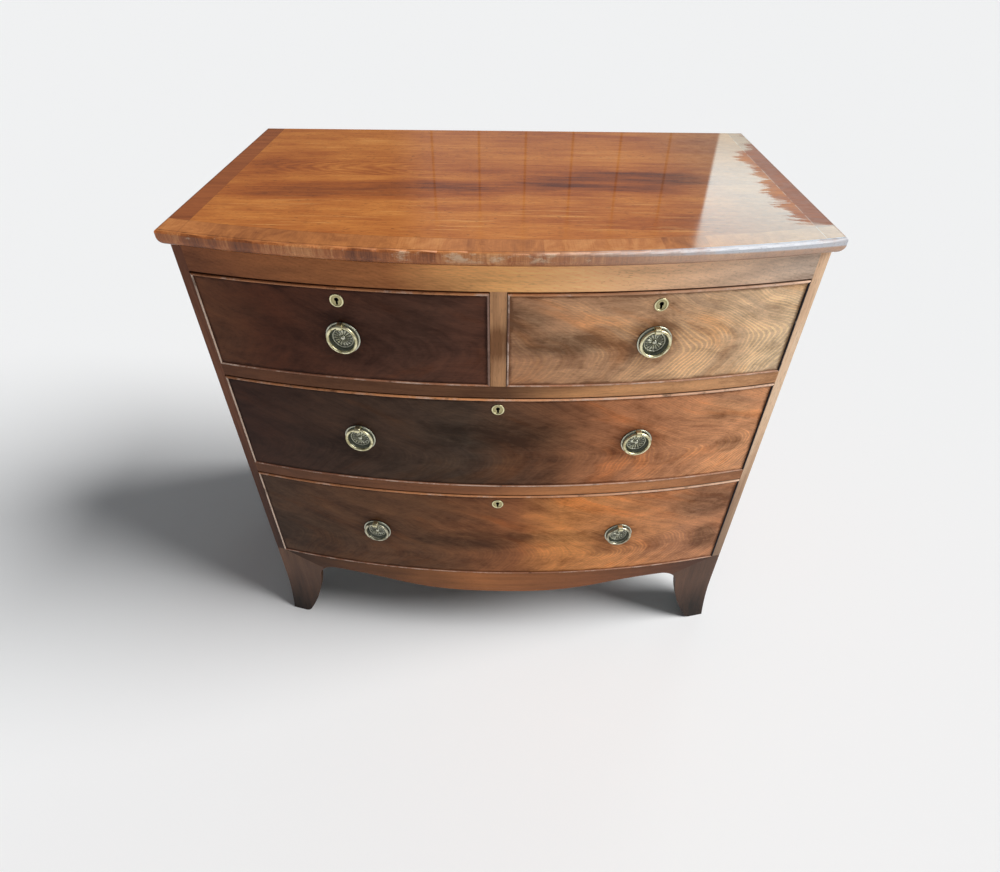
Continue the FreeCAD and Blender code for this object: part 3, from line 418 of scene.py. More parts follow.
# %% Dirt and painted shade
# The painted shadow round each handle is centred a little left of and below the middle of its plate.
HALO_SIZE = (45 * MM, 44 * MM)
HALO_LEFT = 4 * MM
HALO_DOWN = 22 * MM


def rim_of(finish, low, high):
    """How far a place on a front is from the nearest edge of a box."""
    across_it = finish.sum("MINIMUM", finish.sum("SUBTRACT", finish.x, low.x),
                           finish.sum("SUBTRACT", high.x, finish.x))
    up_it = finish.sum("MINIMUM", finish.sum("SUBTRACT", finish.z, low.z),
                       finish.sum("SUBTRACT", high.z, finish.z))
    return finish.sum("MINIMUM", across_it, up_it)


def painted_shade_and_dirt(finish, drawer, round_handles):
    """Dirt and painted shade in the corners along the beads, and a painted shadow round each handle."""
    low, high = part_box(f"{drawer}_front")
    ragged = finish.noise(finish.scaled(40, 40, 40), detail=4, roughness=0.65)
    # Dirt and painted shade along the edges of the front, next to the beads.
    inside = finish.sum("MULTIPLY_ADD", ragged, -10 * MM, rim_of(finish, low, high))
    dirt_and_shade = finish.ease(inside, 4 * MM, -2 * MM)
    # A painted shadow round each ring handle, as dark as round_handles says.
    for joint in frame["joints"]:
        if joint["type"] == "hinge" and joint["parent"] == f"{drawer}_drawer":
            x, _, z = joint["pos_m"]
            halo = finish.patch((x - HALO_LEFT, z - HALO_DOWN), HALO_SIZE, ragged, 0.5)
            dirt_and_shade = finish.sum("MAXIMUM", dirt_and_shade, finish.sum("MULTIPLY", halo, round_handles))
    return dirt_and_shade


# %% Hook rings
RING_SPACING = 7.8 * MM
UPPER_ARM = (2.1, 22 * MM)
LOWER_ARM = (1.5, 30 * MM)


def arm(finish, height, slope, bend):
    """How far left a ring has run at a height: straight far away, and round near the hook's middle."""
    root = finish.sum("SQRT", finish.sum("MULTIPLY_ADD", height, height, bend * bend))
    return finish.sum("MULTIPLY", finish.sum("SUBTRACT", root, bend), slope)


def hook_rings(finish, hook, seed):
    """A number that stays the same along each ring, and how high a place is above the hook's middle."""
    drift = finish.noise(finish.scaled(7, 7, 12, seed + 6), detail=2, roughness=0.45)
    swing = finish.noise(finish.scaled(5, 5, 9, seed), detail=2, roughness=0.45)
    height = finish.sway(finish.sum("SUBTRACT", finish.z, hook[1]), swing, 0.07)
    above = arm(finish, finish.sum("MAXIMUM", height, 0.0), *UPPER_ARM)
    below = arm(finish, finish.sum("MINIMUM", height, 0.0), *LOWER_ARM)
    rings = finish.sum("ADD", finish.x, finish.sum("ADD", above, below))
    return finish.sum("MULTIPLY_ADD", drift, 0.06, rings), height


def flowing(finish, rings, height, wide, long, seed):
    """A noise that is drawn out along the rings."""
    where = finish.spot(finish.sum("MULTIPLY", rings, wide), finish.sum("MULTIPLY", height, long), seed)
    return finish.noise(where, detail=5, roughness=0.62)


# %% Figured veneer
COOL_CAST = (0.88, 0.92, 0.98, 1)
WARM_CAST = (1.09, 0.95, 0.80, 1)
HEART_CAST = (0.80, 0.95, 1.02, 1)
GOLD_CAST = (1.36, 1.40, 1.22, 1)
HOOK_SIZE = (0.16, 0.09)
KEYHOLE_SIZE = (9.8 * MM, 9.8 * MM)
KEYHOLE_SHADE = tint(16, 11, 9)


def middle(name):
    """The middle of a frame node, across and up."""
    low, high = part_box(name)
    return (low.x + high.x) / 2, (low.z + high.z) / 2


def gold_lines(finish, hook, rings, streaks, clouds, wobble, strength):
    """Bright lines along the rings, strongest near the hook and broken here and there."""
    phase = finish.sum("MULTIPLY_ADD", streaks, 2.2, finish.sum("MULTIPLY", rings, math.tau / RING_SPACING))
    near = finish.patch(hook, HOOK_SIZE, wobble, 0.5)
    broken = finish.ease(clouds, 0.38, 0.60, 0.15, 1.0)
    shown = finish.product(finish.sum("MULTIPLY_ADD", near, 0.6, 0.4), broken, strength)
    return finish.product(finish.ease(finish.sum("SINE", phase), -0.3, 1.0), shown, 0.9)


def figured(drawer, tones, hook, strength, patches, seed, level=0.08, halo=0.55):
    """A drawer front: tones from left to right, the hook's middle and strength, and its dark patches."""
    finish = Finish(f"veneer_{drawer}")
    marks = grain(finish, "x", seed)
    wobble = finish.noise(finish.scaled(7, 7, 14, seed), detail=6, roughness=0.68)
    mottle = finish.noise(finish.scaled(16, 16, 30, seed + 2), detail=7, roughness=0.7, distortion=0.5)
    rings, height = hook_rings(finish, hook, seed)
    clouds = flowing(finish, rings, height, 17, 11, seed)
    streaks = flowing(finish, rings, height, 110, 26, seed + 1)
    value = 0.5
    for mark, share in ((clouds, 0.8), (mottle, 1.15), (streaks, 0.45), (marks["streak"], 0.35),
                        (marks["fibre"], 0.3)):
        value = finish.sway(value, mark, share)
    dark_heart = 0.0
    for centre, size, dark in patches:
        heart = finish.patch(centre, size, wobble, 1.5)
        value = finish.sum("MULTIPLY_ADD", heart, -dark, value)
        dark_heart = finish.sum("MULTIPLY_ADD", heart, min(1.0, dark * 3), dark_heart, clamp=True)
    # Dirt and painted shade along the beads, and painted shadows round the handles, darken the front.
    value = finish.sum("MULTIPLY_ADD", painted_shade_and_dirt(finish, drawer, halo), -0.42, value)

    hue = flowing(finish, rings, height, 9, 8, seed + 4)
    colour = across(finish, marks, *tones)
    colour = finish.cast(finish.ease(hue, 0.52, 0.68), colour, COOL_CAST)
    colour = finish.cast(finish.ease(hue, 0.48, 0.34), colour, WARM_CAST)
    colour = finish.cast(finish.sum("MULTIPLY", dark_heart, 0.6), colour, HEART_CAST)
    gold = gold_lines(finish, hook, rings, streaks, clouds, wobble, strength)
    colour = finish.cast(gold, colour, GOLD_CAST)
    # The keyhole's channel is painted nearly black, as painted shade inside the hole.
    keyhole = finish.patch(middle(f"{drawer}_escutcheon"), KEYHOLE_SIZE, 0.0, 0.0)
    colour = finish.mix(keyhole, shaded(finish, colour, value), KEYHOLE_SHADE)
    return waxed(finish, marks, colour, 0.32, level=level)


# %% [markdown]
# The four fronts come from the same log, but each sheet of veneer was cut through its rings elsewhere. So
# each gets its own tones from left to right, the place of its hook, and the dark patches that mark the heart,
# as centre, half size and darkness. The tones are partly the veneer's own and partly painted light: darker to
# the left and paler to the right, with a painted sheen at the right end of the short right front, which also
# gets a darker painted shadow round its handle. Places are in metres, across and up.

# %% Four fronts
VENEERS = {
    "short_left": dict(
        tones=[(-0.42, (104, 64, 42)), (-0.34, (84, 46, 30)), (-0.10, (88, 58, 46)), (0.0, (98, 62, 48))],
        hook=(0.1, 0.70), strength=0.2, patches=[((-0.16, 0.74), (0.12, 0.06), 0.12)], seed=3.1),
    "short_right": dict(
        tones=[(0.02, (182, 134, 100)), (0.14, (206, 158, 120)), (0.28, (218, 176, 138)),
               (0.42, (226, 196, 162))],
        hook=(0.326, 0.703), strength=1.0, seed=5.7, level=0.14, halo=0.95,
        patches=[((0.09, 0.718), (0.09, 0.022), 0.3), ((0.03, 0.755), (0.04, 0.03), 0.25),
                 ((0.21, 0.74), (0.06, 0.012), 0.15)]),
    "middle": dict(
        tones=[(-0.42, (64, 38, 28)), (-0.06, (82, 64, 52)), (0.08, (120, 80, 56)), (0.20, (186, 124, 86)),
               (0.40, (216, 154, 112))],
        hook=(0.34, 0.499), strength=0.9, seed=9.2,
        patches=[((0.0, 0.55), (0.13, 0.035), 0.28), ((-0.234, 0.477), (0.12, 0.05), 0.1),
                 ((0.39, 0.50), (0.03, 0.02), 0.2), ((0.37, 0.58), (0.05, 0.03), 0.2)]),
    "bottom": dict(
        tones=[(-0.42, (86, 62, 46)), (-0.15, (112, 76, 52)), (0.03, (156, 98, 62)), (0.13, (218, 145, 85)),
               (0.36, (190, 132, 96))],
        hook=(0.31, 0.252), strength=0.9, seed=12.6,
        patches=[((-0.386, 0.265), (0.12, 0.06), 0.18), ((-0.033, 0.292), (0.12, 0.03), 0.3),
                 ((0.12, 0.30), (0.10, 0.02), 0.2), ((0.389, 0.367), (0.075, 0.05), 0.27),
                 ((0.40, 0.26), (0.03, 0.04), 0.3)]),
}
DRAWERS = tuple(VENEERS)

for drawer, looks in VENEERS.items():
    dress(f"{drawer}_front", figured(drawer, **looks))
print("fronts", DRAWERS)

# %% [markdown]
# ## The top
# The field of the top is one wide board with its grain from end to end, framed on three sides. The band in
# front is laid in short strips with their grain across the edge, each from a different place, so it changes
# colour from strip to strip. Each band could be a mesh of its own, but veneer lies flush, so one finish
# measures how far a place is from the edges and picks its wood from that. The edge is rounded under.

# %% Measure the top
TOP_BOW = 59 * MM
top_low, top_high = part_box("top")
TOP_RADIUS = (top_high.x**2 + TOP_BOW**2) / (2 * TOP_BOW)
print("top", round(top_high.x * 2, 4), "wide, bow radius", round(TOP_RADIUS, 4))


# %% Front edge and lost wax
def inside_front(finish):
    """How far a place on the top is from its bowed front edge."""
    back = finish.sum("SUBTRACT", finish.y, top_low.y + TOP_RADIUS)
    radius = finish.sum("SQRT", finish.sum("MULTIPLY_ADD", finish.x, finish.x, finish.product(back, back)))
    return finish.sum("SUBTRACT", TOP_RADIUS, radius)


def dulled(finish):
    """Where the wax is gone from the right end of the top: a comb of bare streaks along the grain."""
    teeth = finish.noise(finish.scaled(7, 30, 1), detail=8, roughness=0.78)
    hairs = finish.noise(finish.scaled(24, 240, 1), detail=4, roughness=0.75)
    edge = finish.sway(finish.sway(finish.x, teeth, 0.13), hairs, 0.09)
    slope = finish.sum("MULTIPLY", finish.ease(finish.y, 0.12, 0.235), 0.05)
    notch = finish.sum("MULTIPLY", finish.between(finish.y, 0.002, 0.022, 0.012), 0.014)
    edge = finish.sum("SUBTRACT", finish.sum("SUBTRACT", edge, slope), notch)
    front_end = finish.sway(finish.y, hairs, 0.05)
    return finish.sum("MULTIPLY", finish.ease(edge, 0.406, 0.4125), finish.ease(front_end, -0.182, -0.166))


# %% Top board
TOP_PATCHES = [((0.19, -0.01), (0.17, 0.06), 0.24), ((-0.24, -0.06), (0.22, 0.05), 0.14),
               ((-0.02, -0.03), (0.20, 0.03), 0.10), ((-0.36, 0.10), (0.08, 0.10), 0.08)]
ARCH_PACE = 190


def arched(finish, cloud, wobble):
    """Faint arches across the left of the board, where the saw met the rings of the tree.

    The arches follow each other at ARCH_PACE radians to a metre, which is one in 33 mm.
    """
    back = finish.sum("SUBTRACT", finish.y, 0.05)
    arch = finish.sum("MULTIPLY_ADD", finish.product(back, back), -55.0, finish.x)
    arch = finish.sum("MULTIPLY_ADD", cloud, 0.09, arch)
    arch = finish.sum("SINE", finish.sum("MULTIPLY", arch, ARCH_PACE))
    shown = finish.patch((-0.26, 0.05), (0.14, 0.06), wobble, 0.9, flat=True)
    return arch, finish.sum("MULTIPLY", shown, 0.06)


def top_field(finish, field):
    """The wide board of the top: long soft bands, a dark heart to the right, and short dark pores."""
    wobble = finish.noise(finish.scaled(5, 26, 1), detail=6, roughness=0.7)
    bands = finish.noise(finish.scaled(1.6, 11, 1, 8.0), detail=7, roughness=0.62, distortion=0.8)
    cloud = finish.noise(finish.scaled(9, 22, 1, 2.0), detail=5, roughness=0.65)
    value = finish.sway(tone(finish, field, 0.2, 0.3, 0.4), bands, 0.7)
    value = finish.sway(value, cloud, 0.45)
    for centre, size, dark in TOP_PATCHES:
        value = finish.sum("MULTIPLY_ADD", finish.patch(centre, size, wobble, 1.7, flat=True), -dark, value)
    value = finish.sum("MULTIPLY_ADD", *arched(finish, cloud, wobble), value)
    colour = finish.ramp(value, (0.12, tint(112, 58, 34)), (0.38, tint(176, 96, 42)),
                         (0.60, tint(210, 130, 60)), (0.90, tint(240, 170, 94)))
    gold = finish.noise(finish.scaled(7, 120, 1, 3.0), detail=5, roughness=0.7)
    gold = finish.product(finish.ease(gold, 0.54, 0.68), finish.ease(finish.y, -0.02, -0.16))
    colour = finish.mix(finish.sum("MULTIPLY", gold, 0.6), colour, tint(238, 170, 96))
    dashes = finish.noise(finish.scaled(80, 560, 1), detail=2, roughness=0.6)
    many = finish.noise(finish.scaled(6, 18, 1, 5.0), detail=2)
    dashes = finish.ease(finish.sum("MULTIPLY_ADD", many, 0.14, dashes), 0.69, 0.76)
    return finish.mix(finish.sum("MULTIPLY", dashes, 0.6), colour, tint(78, 42, 26))


# %% Banding and nosing
def front_banding(finish, band):
    """Short strips with their grain across the edge, each a little lighter or darker than the next."""
    strips = finish.sum("MULTIPLY_ADD", finish.noise(finish.spot(x=finish.x), scale=5), 3.0,
                        finish.sum("DIVIDE", finish.x, 85 * MM))
    pick = finish.add("ShaderNodeTexWhiteNoise", {"W": finish.sum("FLOOR", strips)},
                      noise_dimensions="1D").outputs["Value"]
    swirl = finish.noise(finish.scaled(34, 20, 1, 6.0), detail=5, roughness=0.65, distortion=0.8)
    value = finish.sum("MULTIPLY_ADD", pick, 0.24, tone(finish, band, 0.3, 0.14, 0.2))
    value = finish.sway(value, swirl, 0.8)
    return finish.ramp(value, (0.3, tint(148, 86, 46)), (0.62, tint(200, 126, 68)),
                       (1.0, tint(238, 170, 104)))


def nosing_colour(finish, upright):
    """The rounded edge shows its grain on end, with pale worn patches on its upper part, a painted sheen at
    its right end, and painted shade underneath.
    """
    colour = three_tones(finish, tone(finish, upright, 1.4, 0.4, 0.5), (96, 46, 22), (172, 98, 46),
                         (228, 164, 106))
    # A painted sheen pales the right end of the edge, by the window.
    window_sheen = finish.mix(0.6, colour, tint(222, 196, 174))
    window_end = finish.sum("MULTIPLY", finish.ease(finish.x, 0.0, 0.30), finish.ease(finish.y, -0.12, -0.2))
    colour = finish.mix(window_end, colour, window_sheen)
    worn = finish.noise(finish.scaled(30, 30, 60), detail=7, roughness=0.8)
    centred = finish.ease(finish.sum("ABSOLUTE", finish.sum("ADD", finish.x, 0.01)), 0.24, 0.05)
    worn = finish.ease(finish.sum("MULTIPLY_ADD", centred, 0.12, worn), 0.61, 0.71)
    worn = finish.sum("MULTIPLY", worn, finish.ease(finish.z, 0.844, 0.853))
    colour = finish.mix(finish.sum("MULTIPLY", worn, 0.6), colour, tint(226, 200, 168))
    # Painted shade on the under side of the rounded edge, stronger at the left.
    low = finish.product(finish.ease(finish.z, 0.848, 0.840), finish.ease(finish.x, 0.05, 0.35, 0.5, 0.25))
    return finish.mix(low, colour, tint(96, 54, 34))


# %% Top finish
FRONT_BAND = 41 * MM
LEFT_BAND = 35 * MM
RIGHT_BAND = 30 * MM
STRING = 1.1 * MM
JOINT = 0.6 * MM
SOFT = 0.4 * MM
NOSING = 1.2 * MM
ARRIS = 4 * MM


def within(finish, distance, width):
    """1 on a band of a width along an edge."""
    return finish.ease(distance, width + SOFT, width - SOFT)


def line_at(finish, distance, width, thick, soft=SOFT):
    """1 on a thin line where a band ends."""
    return finish.between(distance, width - thick / 2, width + thick / 2, soft)


def top_wood(finish, field, front, from_left, from_right):
    """The wide board with its bands, the joints between them, and a pale string let in at the right."""
    ends = finish.ramp(tone(finish, grain(finish, "x", 4.1), 0.5, 0.7), (0.2, tint(126, 66, 34)),
                       (0.6, tint(170, 96, 50)), (0.9, tint(198, 124, 74)))
    in_ends = finish.sum("MAXIMUM", within(finish, from_left, LEFT_BAND),
                         within(finish, from_right, RIGHT_BAND))
    colour = finish.mix(in_ends, top_field(finish, field), ends)
    strips = front_banding(finish, grain(finish, "y", 7.7))
    colour = finish.mix(within(finish, front, FRONT_BAND), colour, strips)
    joints = finish.sum("MAXIMUM", line_at(finish, front, FRONT_BAND, JOINT),
                        line_at(finish, from_left, LEFT_BAND, JOINT))
    colour = finish.mix(finish.sum("MULTIPLY", joints, 0.45), colour, tint(74, 42, 28))
    broken = finish.noise(finish.scaled(8, 60, 1), detail=3)
    string = finish.sum("MULTIPLY", line_at(finish, from_right, RIGHT_BAND, STRING, 0.3 * MM),
                        finish.ease(broken, 0.42, 0.5))
    return finish.mix(finish.sum("MULTIPLY", string, 0.8), colour, tint(230, 218, 200))


def reflection_and_dust(finish, colour, dull):
    """A painted reflection of the window greys the right end, and dust lies where the wax is gone."""
    speckle = finish.noise(finish.scaled(70, 110, 70, 9.0), detail=6, roughness=0.7)
    reflection_grey = finish.ramp(speckle, (0.32, tint(122, 92, 66)), (0.68, tint(184, 148, 112)))
    # A painted reflection of the window greys the right end, except where the wax is gone.
    reflection_share = finish.product(finish.ease(finish.x, 0.20, 0.42, 0.0, 0.5), finish.sum("SUBTRACT", 1.0, dull))
    colour = finish.mix(reflection_share, colour, reflection_grey)
    dusty = finish.sum("MULTIPLY", dull, finish.ease(speckle, 0.35, 0.65, 0.2, 0.45))
    return finish.mix(dusty, colour, tint(170, 146, 140))


def nosing_with_highlight(finish, colour, front, from_edge):
    """The nosing, the dark line where it begins, and a painted highlight along its upper corner towards the
    right.
    """
    nosing = finish.ease(finish.z, top_high.z - NOSING, top_high.z - NOSING - 0.8 * MM)
    colour = finish.mix(nosing, colour, nosing_colour(finish, grain(finish, "z", 2.9, 2.6)))
    line = finish.between(from_edge, ARRIS - 0.6 * MM, ARRIS + SOFT, SOFT)
    colour = finish.mix(finish.sum("MULTIPLY", line, 0.6), colour, tint(66, 40, 30))
    # A painted highlight along the upper corner of the front edge, brightest towards the right; the noise
    # called rubbed only breaks it up.
    rubbed = finish.noise(finish.scaled(26, 26, 26, 3.0), detail=5, roughness=0.65)
    reach = finish.sum("MULTIPLY_ADD", finish.x, 0.012, finish.z)
    lit = finish.product(finish.between(front, -1 * MM, ARRIS + 1 * MM, 0.5 * MM),
                         finish.ease(reach, 0.8562, 0.8588), finish.ease(finish.x, -0.05, 0.30),
                         finish.ease(rubbed, 0.30, 0.52, 0.45, 0.9))
    highlight_colour = finish.mix(finish.ease(finish.x, 0.08, 0.30), tint(162, 140, 124), tint(206, 212, 220))
    return finish.mix(lit, colour, highlight_colour)


def top_finish():
    finish = Finish("mahogany_top")
    field = grain(finish, "x", 1.3)
    front = inside_front(finish)
    from_left = finish.sum("SUBTRACT", finish.x, top_low.x)
    from_right = finish.sum("SUBTRACT", top_high.x, finish.x)
    from_edge = finish.sum("MINIMUM", front, finish.sum("MINIMUM", from_left, from_right))
    dull = dulled(finish)
    colour = reflection_and_dust(finish, top_wood(finish, field, front, from_left, from_right), dull)
    waxed(finish, field, nosing_with_highlight(finish, colour, front, from_edge), 0.09, depth=0.006 * MM, pore=0.25)

    rough = finish.sum("MULTIPLY_ADD", field["fibre"], 0.02, 0.02)
    rough = finish.sum("MULTIPLY_ADD", finish.ease(finish.y, -0.10, -0.22), 0.05, rough)
    rough = finish.sum("MAXIMUM", rough, finish.sum("MULTIPLY", dull, 0.6))
    rough = finish.sum("MAXIMUM", rough, finish.ease(from_edge, ARRIS, ARRIS - 1 * MM, 0.0, 0.5))
    finish.feed(finish.shader.inputs["Roughness"], rough)
    return finish.material


dress("top", top_finish())
print("top finished with", len(nodes["top"].data.materials[0].node_tree.nodes), "nodes")

# %% [markdown]
# ## The case
# The rails and the apron have their grain from side to side, and the sides stand with theirs upright. Their
# colours could come from one wood, but each board follows its own colours from left to right, partly its own
# wood and partly painted light. The left stile is painted dark, as in shade, and the right one pale tan, as
# in light.


# %% Rails
LINE_SPACING = 5.5 * MM


def aged_board(name, along, tones, seed, dark=(), slant=None):
    """A board whose colour changes from left to right, with cloudy dark patches or fine slanting lines."""
    finish = Finish(name)
    marks = grain(finish, along, seed)
    wobble = finish.noise(finish.scaled(9, 9, 14, seed), detail=4, roughness=0.6)
    value = tone(finish, marks, 1.3, 0.8, 0.3)
    if slant:
        lines = finish.sum("MULTIPLY_ADD", finish.x, slant, finish.z)
        lines = finish.sum("MULTIPLY_ADD", wobble, 0.03, lines)
        lines = finish.sum("SINE", finish.sum("MULTIPLY", lines, math.tau / LINE_SPACING))
        value = finish.sum("MULTIPLY_ADD", lines, 0.035, value)
    for centre, size, strength in dark:
        value = finish.sum("MULTIPLY_ADD", finish.patch(centre, size, wobble), -strength, value)
    colour = shaded(finish, across(finish, marks, *tones), value)
    return waxed(finish, marks, colour, 0.36, level=0.1)


# The tones from left to right are partly the boards' own and partly painted light: darker at the left, and
# paler and greyer at the right end of the frieze, where a sheen is painted.
BOARDS = {
    "frieze_rail": dict(
        name="mahogany_frieze", along="x", seed=20.0, slant=0.3,
        tones=[(-0.42, (134, 81, 51)), (-0.15, (180, 116, 70)), (0.02, (255, 192, 124)),
               (0.12, (246, 192, 136)), (0.25, (224, 182, 146)), (0.42, (208, 186, 168))]),
    "upper_rail": dict(
        name="mahogany_upper_rail", along="x", seed=21.0,
        tones=[(-0.40, (106, 66, 44)), (0.0, (122, 84, 58)), (0.13, (206, 150, 102)),
               (0.42, (226, 172, 126))]),
    "lower_rail": dict(
        name="mahogany_lower_rail", along="x", seed=22.0,
        tones=[(-0.40, (104, 68, 48)), (0.0, (146, 96, 64)), (0.15, (208, 142, 92)),
               (0.42, (178, 124, 88))]),
    "drawer_divider": dict(
        name="mahogany_divider", along="z", seed=23.0, dark=[((0.0, 0.72), (0.03, 0.03), 0.3)],
        tones=[(-0.1, (204, 154, 112)), (0.1, (204, 154, 112))]),
    "apron": dict(
        name="mahogany_apron", along="x", seed=24.0,
        tones=[(-0.42, (68, 46, 34)), (-0.2, (108, 70, 44)), (0.0, (156, 100, 60)), (0.2, (136, 86, 56)),
               (0.42, (84, 58, 48))]),
}

for board, looks in BOARDS.items():
    dress(board, aged_board(**looks))
print("rails", list(BOARDS))

# %% Sides
STILE_EDGE = face_y(CASE_HALF)


def side_finish(name, stile, bottom_colour, seed):
    """A side board: its narrow front edge, which joins the rails, has a colour of its own."""
    finish = Finish(name)
    marks = grain(finish, "z", seed)
    value = tone(finish, marks)
    face = three_tones(finish, value, (90, 54, 38), (138, 88, 60), (178, 124, 86))
    edge = three_tones(finish, value, *stile)
    at_edge = finish.ease(finish.y, STILE_EDGE + 3.5 * MM, STILE_EDGE + 1.5 * MM)
    # Lower down, the face and the front edge turn darker towards the floor.
    toward_floor = finish.ease(finish.sum("MULTIPLY_ADD", marks["cloud"], 0.1, finish.z), 0.66, 0.20, 0.0, 0.72)
    colour = finish.mix(toward_floor, finish.mix(at_edge, face, edge), finish.mix(at_edge, tint(84, 58, 46), bottom_colour))
    return waxed(finish, marks, colour, 0.38, level=0.12)


# Shaded and lit copies of the stile's colours: the left one painted dark, as in shade, and the right one
# pale, as in light. The left one's bottom colour is darker too, as shade.
shaded_stile = [(70, 38, 24), (112, 66, 44), (150, 100, 72)]
lit_stile = [(190, 146, 114), (240, 202, 166), (252, 230, 204)]
dress("side_left", side_finish("mahogany_side_left", shaded_stile, tint(40, 28, 23), 31.0))
dress("side_right", side_finish("mahogany_side_right", lit_stile, tint(84, 58, 46), 33.0))
print("stile's front edge at", round(STILE_EDGE, 4))


# %% Feet
def foot_finish(name, seed):
    """Feet are darkest at the floor."""
    finish = Finish(name)
    marks = grain(finish, "z", seed)
    low = finish.ease(finish.z, 0.14, 0.0)
    value = finish.sum("MULTIPLY_ADD", low, -0.35, tone(finish, marks, 0.8, 0.35, 0.25))
    colour = finish.ramp(value, (0.1, tint(38, 29, 24)), (0.45, tint(96, 68, 52)), (0.9, tint(148, 106, 78)))
    return waxed(finish, marks, colour, 0.45, level=0.2)


for index, name in enumerate(("foot_front_left", "foot_front_right", "back_feet")):
    dress(name, foot_finish(f"mahogany_{name}", 40.0 + index))
print("feet finished")

# %% [markdown]
# The woods inside are plain and never waxed: pine for the case, oak for the runners and the drawers. They
# could be left as flat colour, but an open drawer shows them. Under the case they are painted nearly black,
# as painted shade, so they throw little light onto the floor beneath.


# %% Hidden woods
def plain_board(name, along, colours, seed, gloss=0.7, level=0.3):
    """A board in one wood, three colours from dark to light."""
    finish = Finish(name)
    marks = grain(finish, along, seed)
    colour = three_tones(finish, tone(finish, marks), *colours)
    return waxed(finish, marks, colour, gloss, level=level)


pine = [(120, 90, 60), (160, 126, 86), (190, 160, 118)]
shaded_pine = [(34, 28, 23), (52, 43, 35), (72, 60, 49)]
oak = [(112, 86, 60), (150, 122, 88), (186, 160, 122)]

for name, along in (("partition", "y"), ("dust_boards", "x"), ("back_boards", "x"), ("top_ties", "y")):
    dress(name, plain_board(f"pine_{name}", along, pine, 50.0))
for name, along in (("bottom_board", "x"), ("glue_blocks", "z")):
    dress(name, plain_board(f"pine_{name}", along, shaded_pine, 50.0, gloss=0.8, level=0.1))
dress("runners_and_stops", plain_board("oak_runners", "y", oak, 60.0))
for index, drawer in enumerate(DRAWERS):
    for part, along in (("sides", "y"), ("back", "x"), ("bottom", "x")):
        name = f"{drawer}_{part}"
        dress(name, plain_board(f"oak_{name}", along, oak, 61.0 + index, gloss=0.65))
print("hidden boards finished")

# %% [markdown]
# ## Brass and steel
# Old brass is bright where fingers rub it and nearly black where they do not reach. So the stamped plates and
# the keyhole plates carry a number on their points, 1 on the high places and 0 in the hollows, and their
# finishes read it.


# %% Metal finishes
def metal(name, bright, dull, smooth, rough, scale=120.0, hollow=None):
    """Metal that is bright or dull from place to place, with its gloss between two roughnesses."""
    finish = Finish(name)
    bright, dull = tint(*bright), tint(*dull)
    tarnish = finish.ease(finish.noise(finish.place, scale=scale, detail=4, roughness=0.6), 0.42, 0.7)
    colour = finish.mix(tarnish, bright, dull)
    if hollow:
        rubbed = finish.add("ShaderNodeAttribute", attribute_name="rubbed").outputs["Fac"]
        tarnish = finish.sum("MAXIMUM", finish.sum("MULTIPLY", tarnish, 0.45), finish.ease(rubbed, 0.8, 0.05))
        colour = finish.mix(finish.ease(rubbed, 0.4, -0.1), finish.mix(tarnish, bright, dull), tint(*hollow))
    finish.feed(finish.shader.inputs["Base Color"], colour)
    finish.feed(finish.shader.inputs["Roughness"], finish.ease(tarnish, 0, 1, smooth, rough))
    finish.shader.inputs["Metallic"].default_value = 1.0
    pits = finish.noise(finish.place, scale=1400, detail=2)
    finish.feed(finish.shader.inputs["Normal"], finish.relief(pits, 0.03 * MM))
    return finish.material


ring_brass = metal("ring_brass", (238, 232, 194), (176, 166, 122), 0.34, 0.5)
plate_brass = metal("plate_brass", (206, 206, 188), (122, 124, 108), 0.3, 0.5, hollow=(82, 86, 76))
old_brass = metal("old_brass", (194, 190, 166), (128, 124, 106), 0.28, 0.45)
key_brass = metal("key_brass", (232, 224, 180), (176, 166, 124), 0.3, 0.45, 60.0, hollow=(170, 162, 120))
dull_brass = metal("dull_brass", (150, 138, 100), (84, 78, 62), 0.35, 0.6)
steel = metal("old_steel", (120, 118, 114), (76, 70, 64), 0.35, 0.6)

for drawer in DRAWERS:
    dress(f"{drawer}_escutcheon", old_brass)
    dress(f"{drawer}_lock_case", dull_brass)
    dress(f"{drawer}_lock_bolt", steel)
rings = [name for name in nodes if name.endswith("_ring")]
for name in rings:
    dress(name, old_brass if name.startswith("bottom") else ring_brass)
print("locks", len(DRAWERS), "rings", len(rings))

# %% [markdown]
# ## Skins through loops
# The brass fittings and the beads are made the same way: draw one closed loop of points, then another a
# little further on, and stretch a skin between them. Modifiers could turn or sweep them, but they would
# have to be applied, and loops give each point its place at once. A turned plate is a stack of circles, a
# post is a stack of outlines, and a bead is one small section carried along the bow.


# %% Mesh helpers
def skin(loops, tube=False):
    """Points and faces through loops of equal length. A tube joins its last loop to its first."""
    count = len(loops[0])
    points = [point for loop in loops for point in loop]
    faces = []
    for span in range(len(loops) if tube else len(loops) - 1):
        here = span * count
        there = (span + 1) % len(loops) * count
        for index in range(count):
            after = (index + 1) % count
            faces.append((here + index, here + after, there + after, there + index))
    if not tube:
        faces.append(tuple(range(count)))
        faces.append(tuple(range(len(points) - count, len(points))))
    return points, faces


def piece(name, points, faces, place, material, body, node, sharp=40):
    """A smooth mesh piece, set in its place, that rides on a body and stands in for a frame node."""
    mesh = bpy.data.meshes.new(name)
    mesh.from_pydata([place @ Vector(point) for point in points], [], faces)
    work = bmesh.new()
    work.from_mesh(mesh)
    bmesh.ops.recalc_face_normals(work, faces=work.faces)
    work.to_mesh(mesh)
    work.free()
    mesh.shade_smooth()
    mesh.set_sharp_from_angle(angle=math.radians(sharp))
    mesh.materials.append(material)
    made = bpy.data.objects.new(name, mesh)
    bpy.context.collection.objects.link(made)
    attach(made, body)
    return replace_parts(made, node)


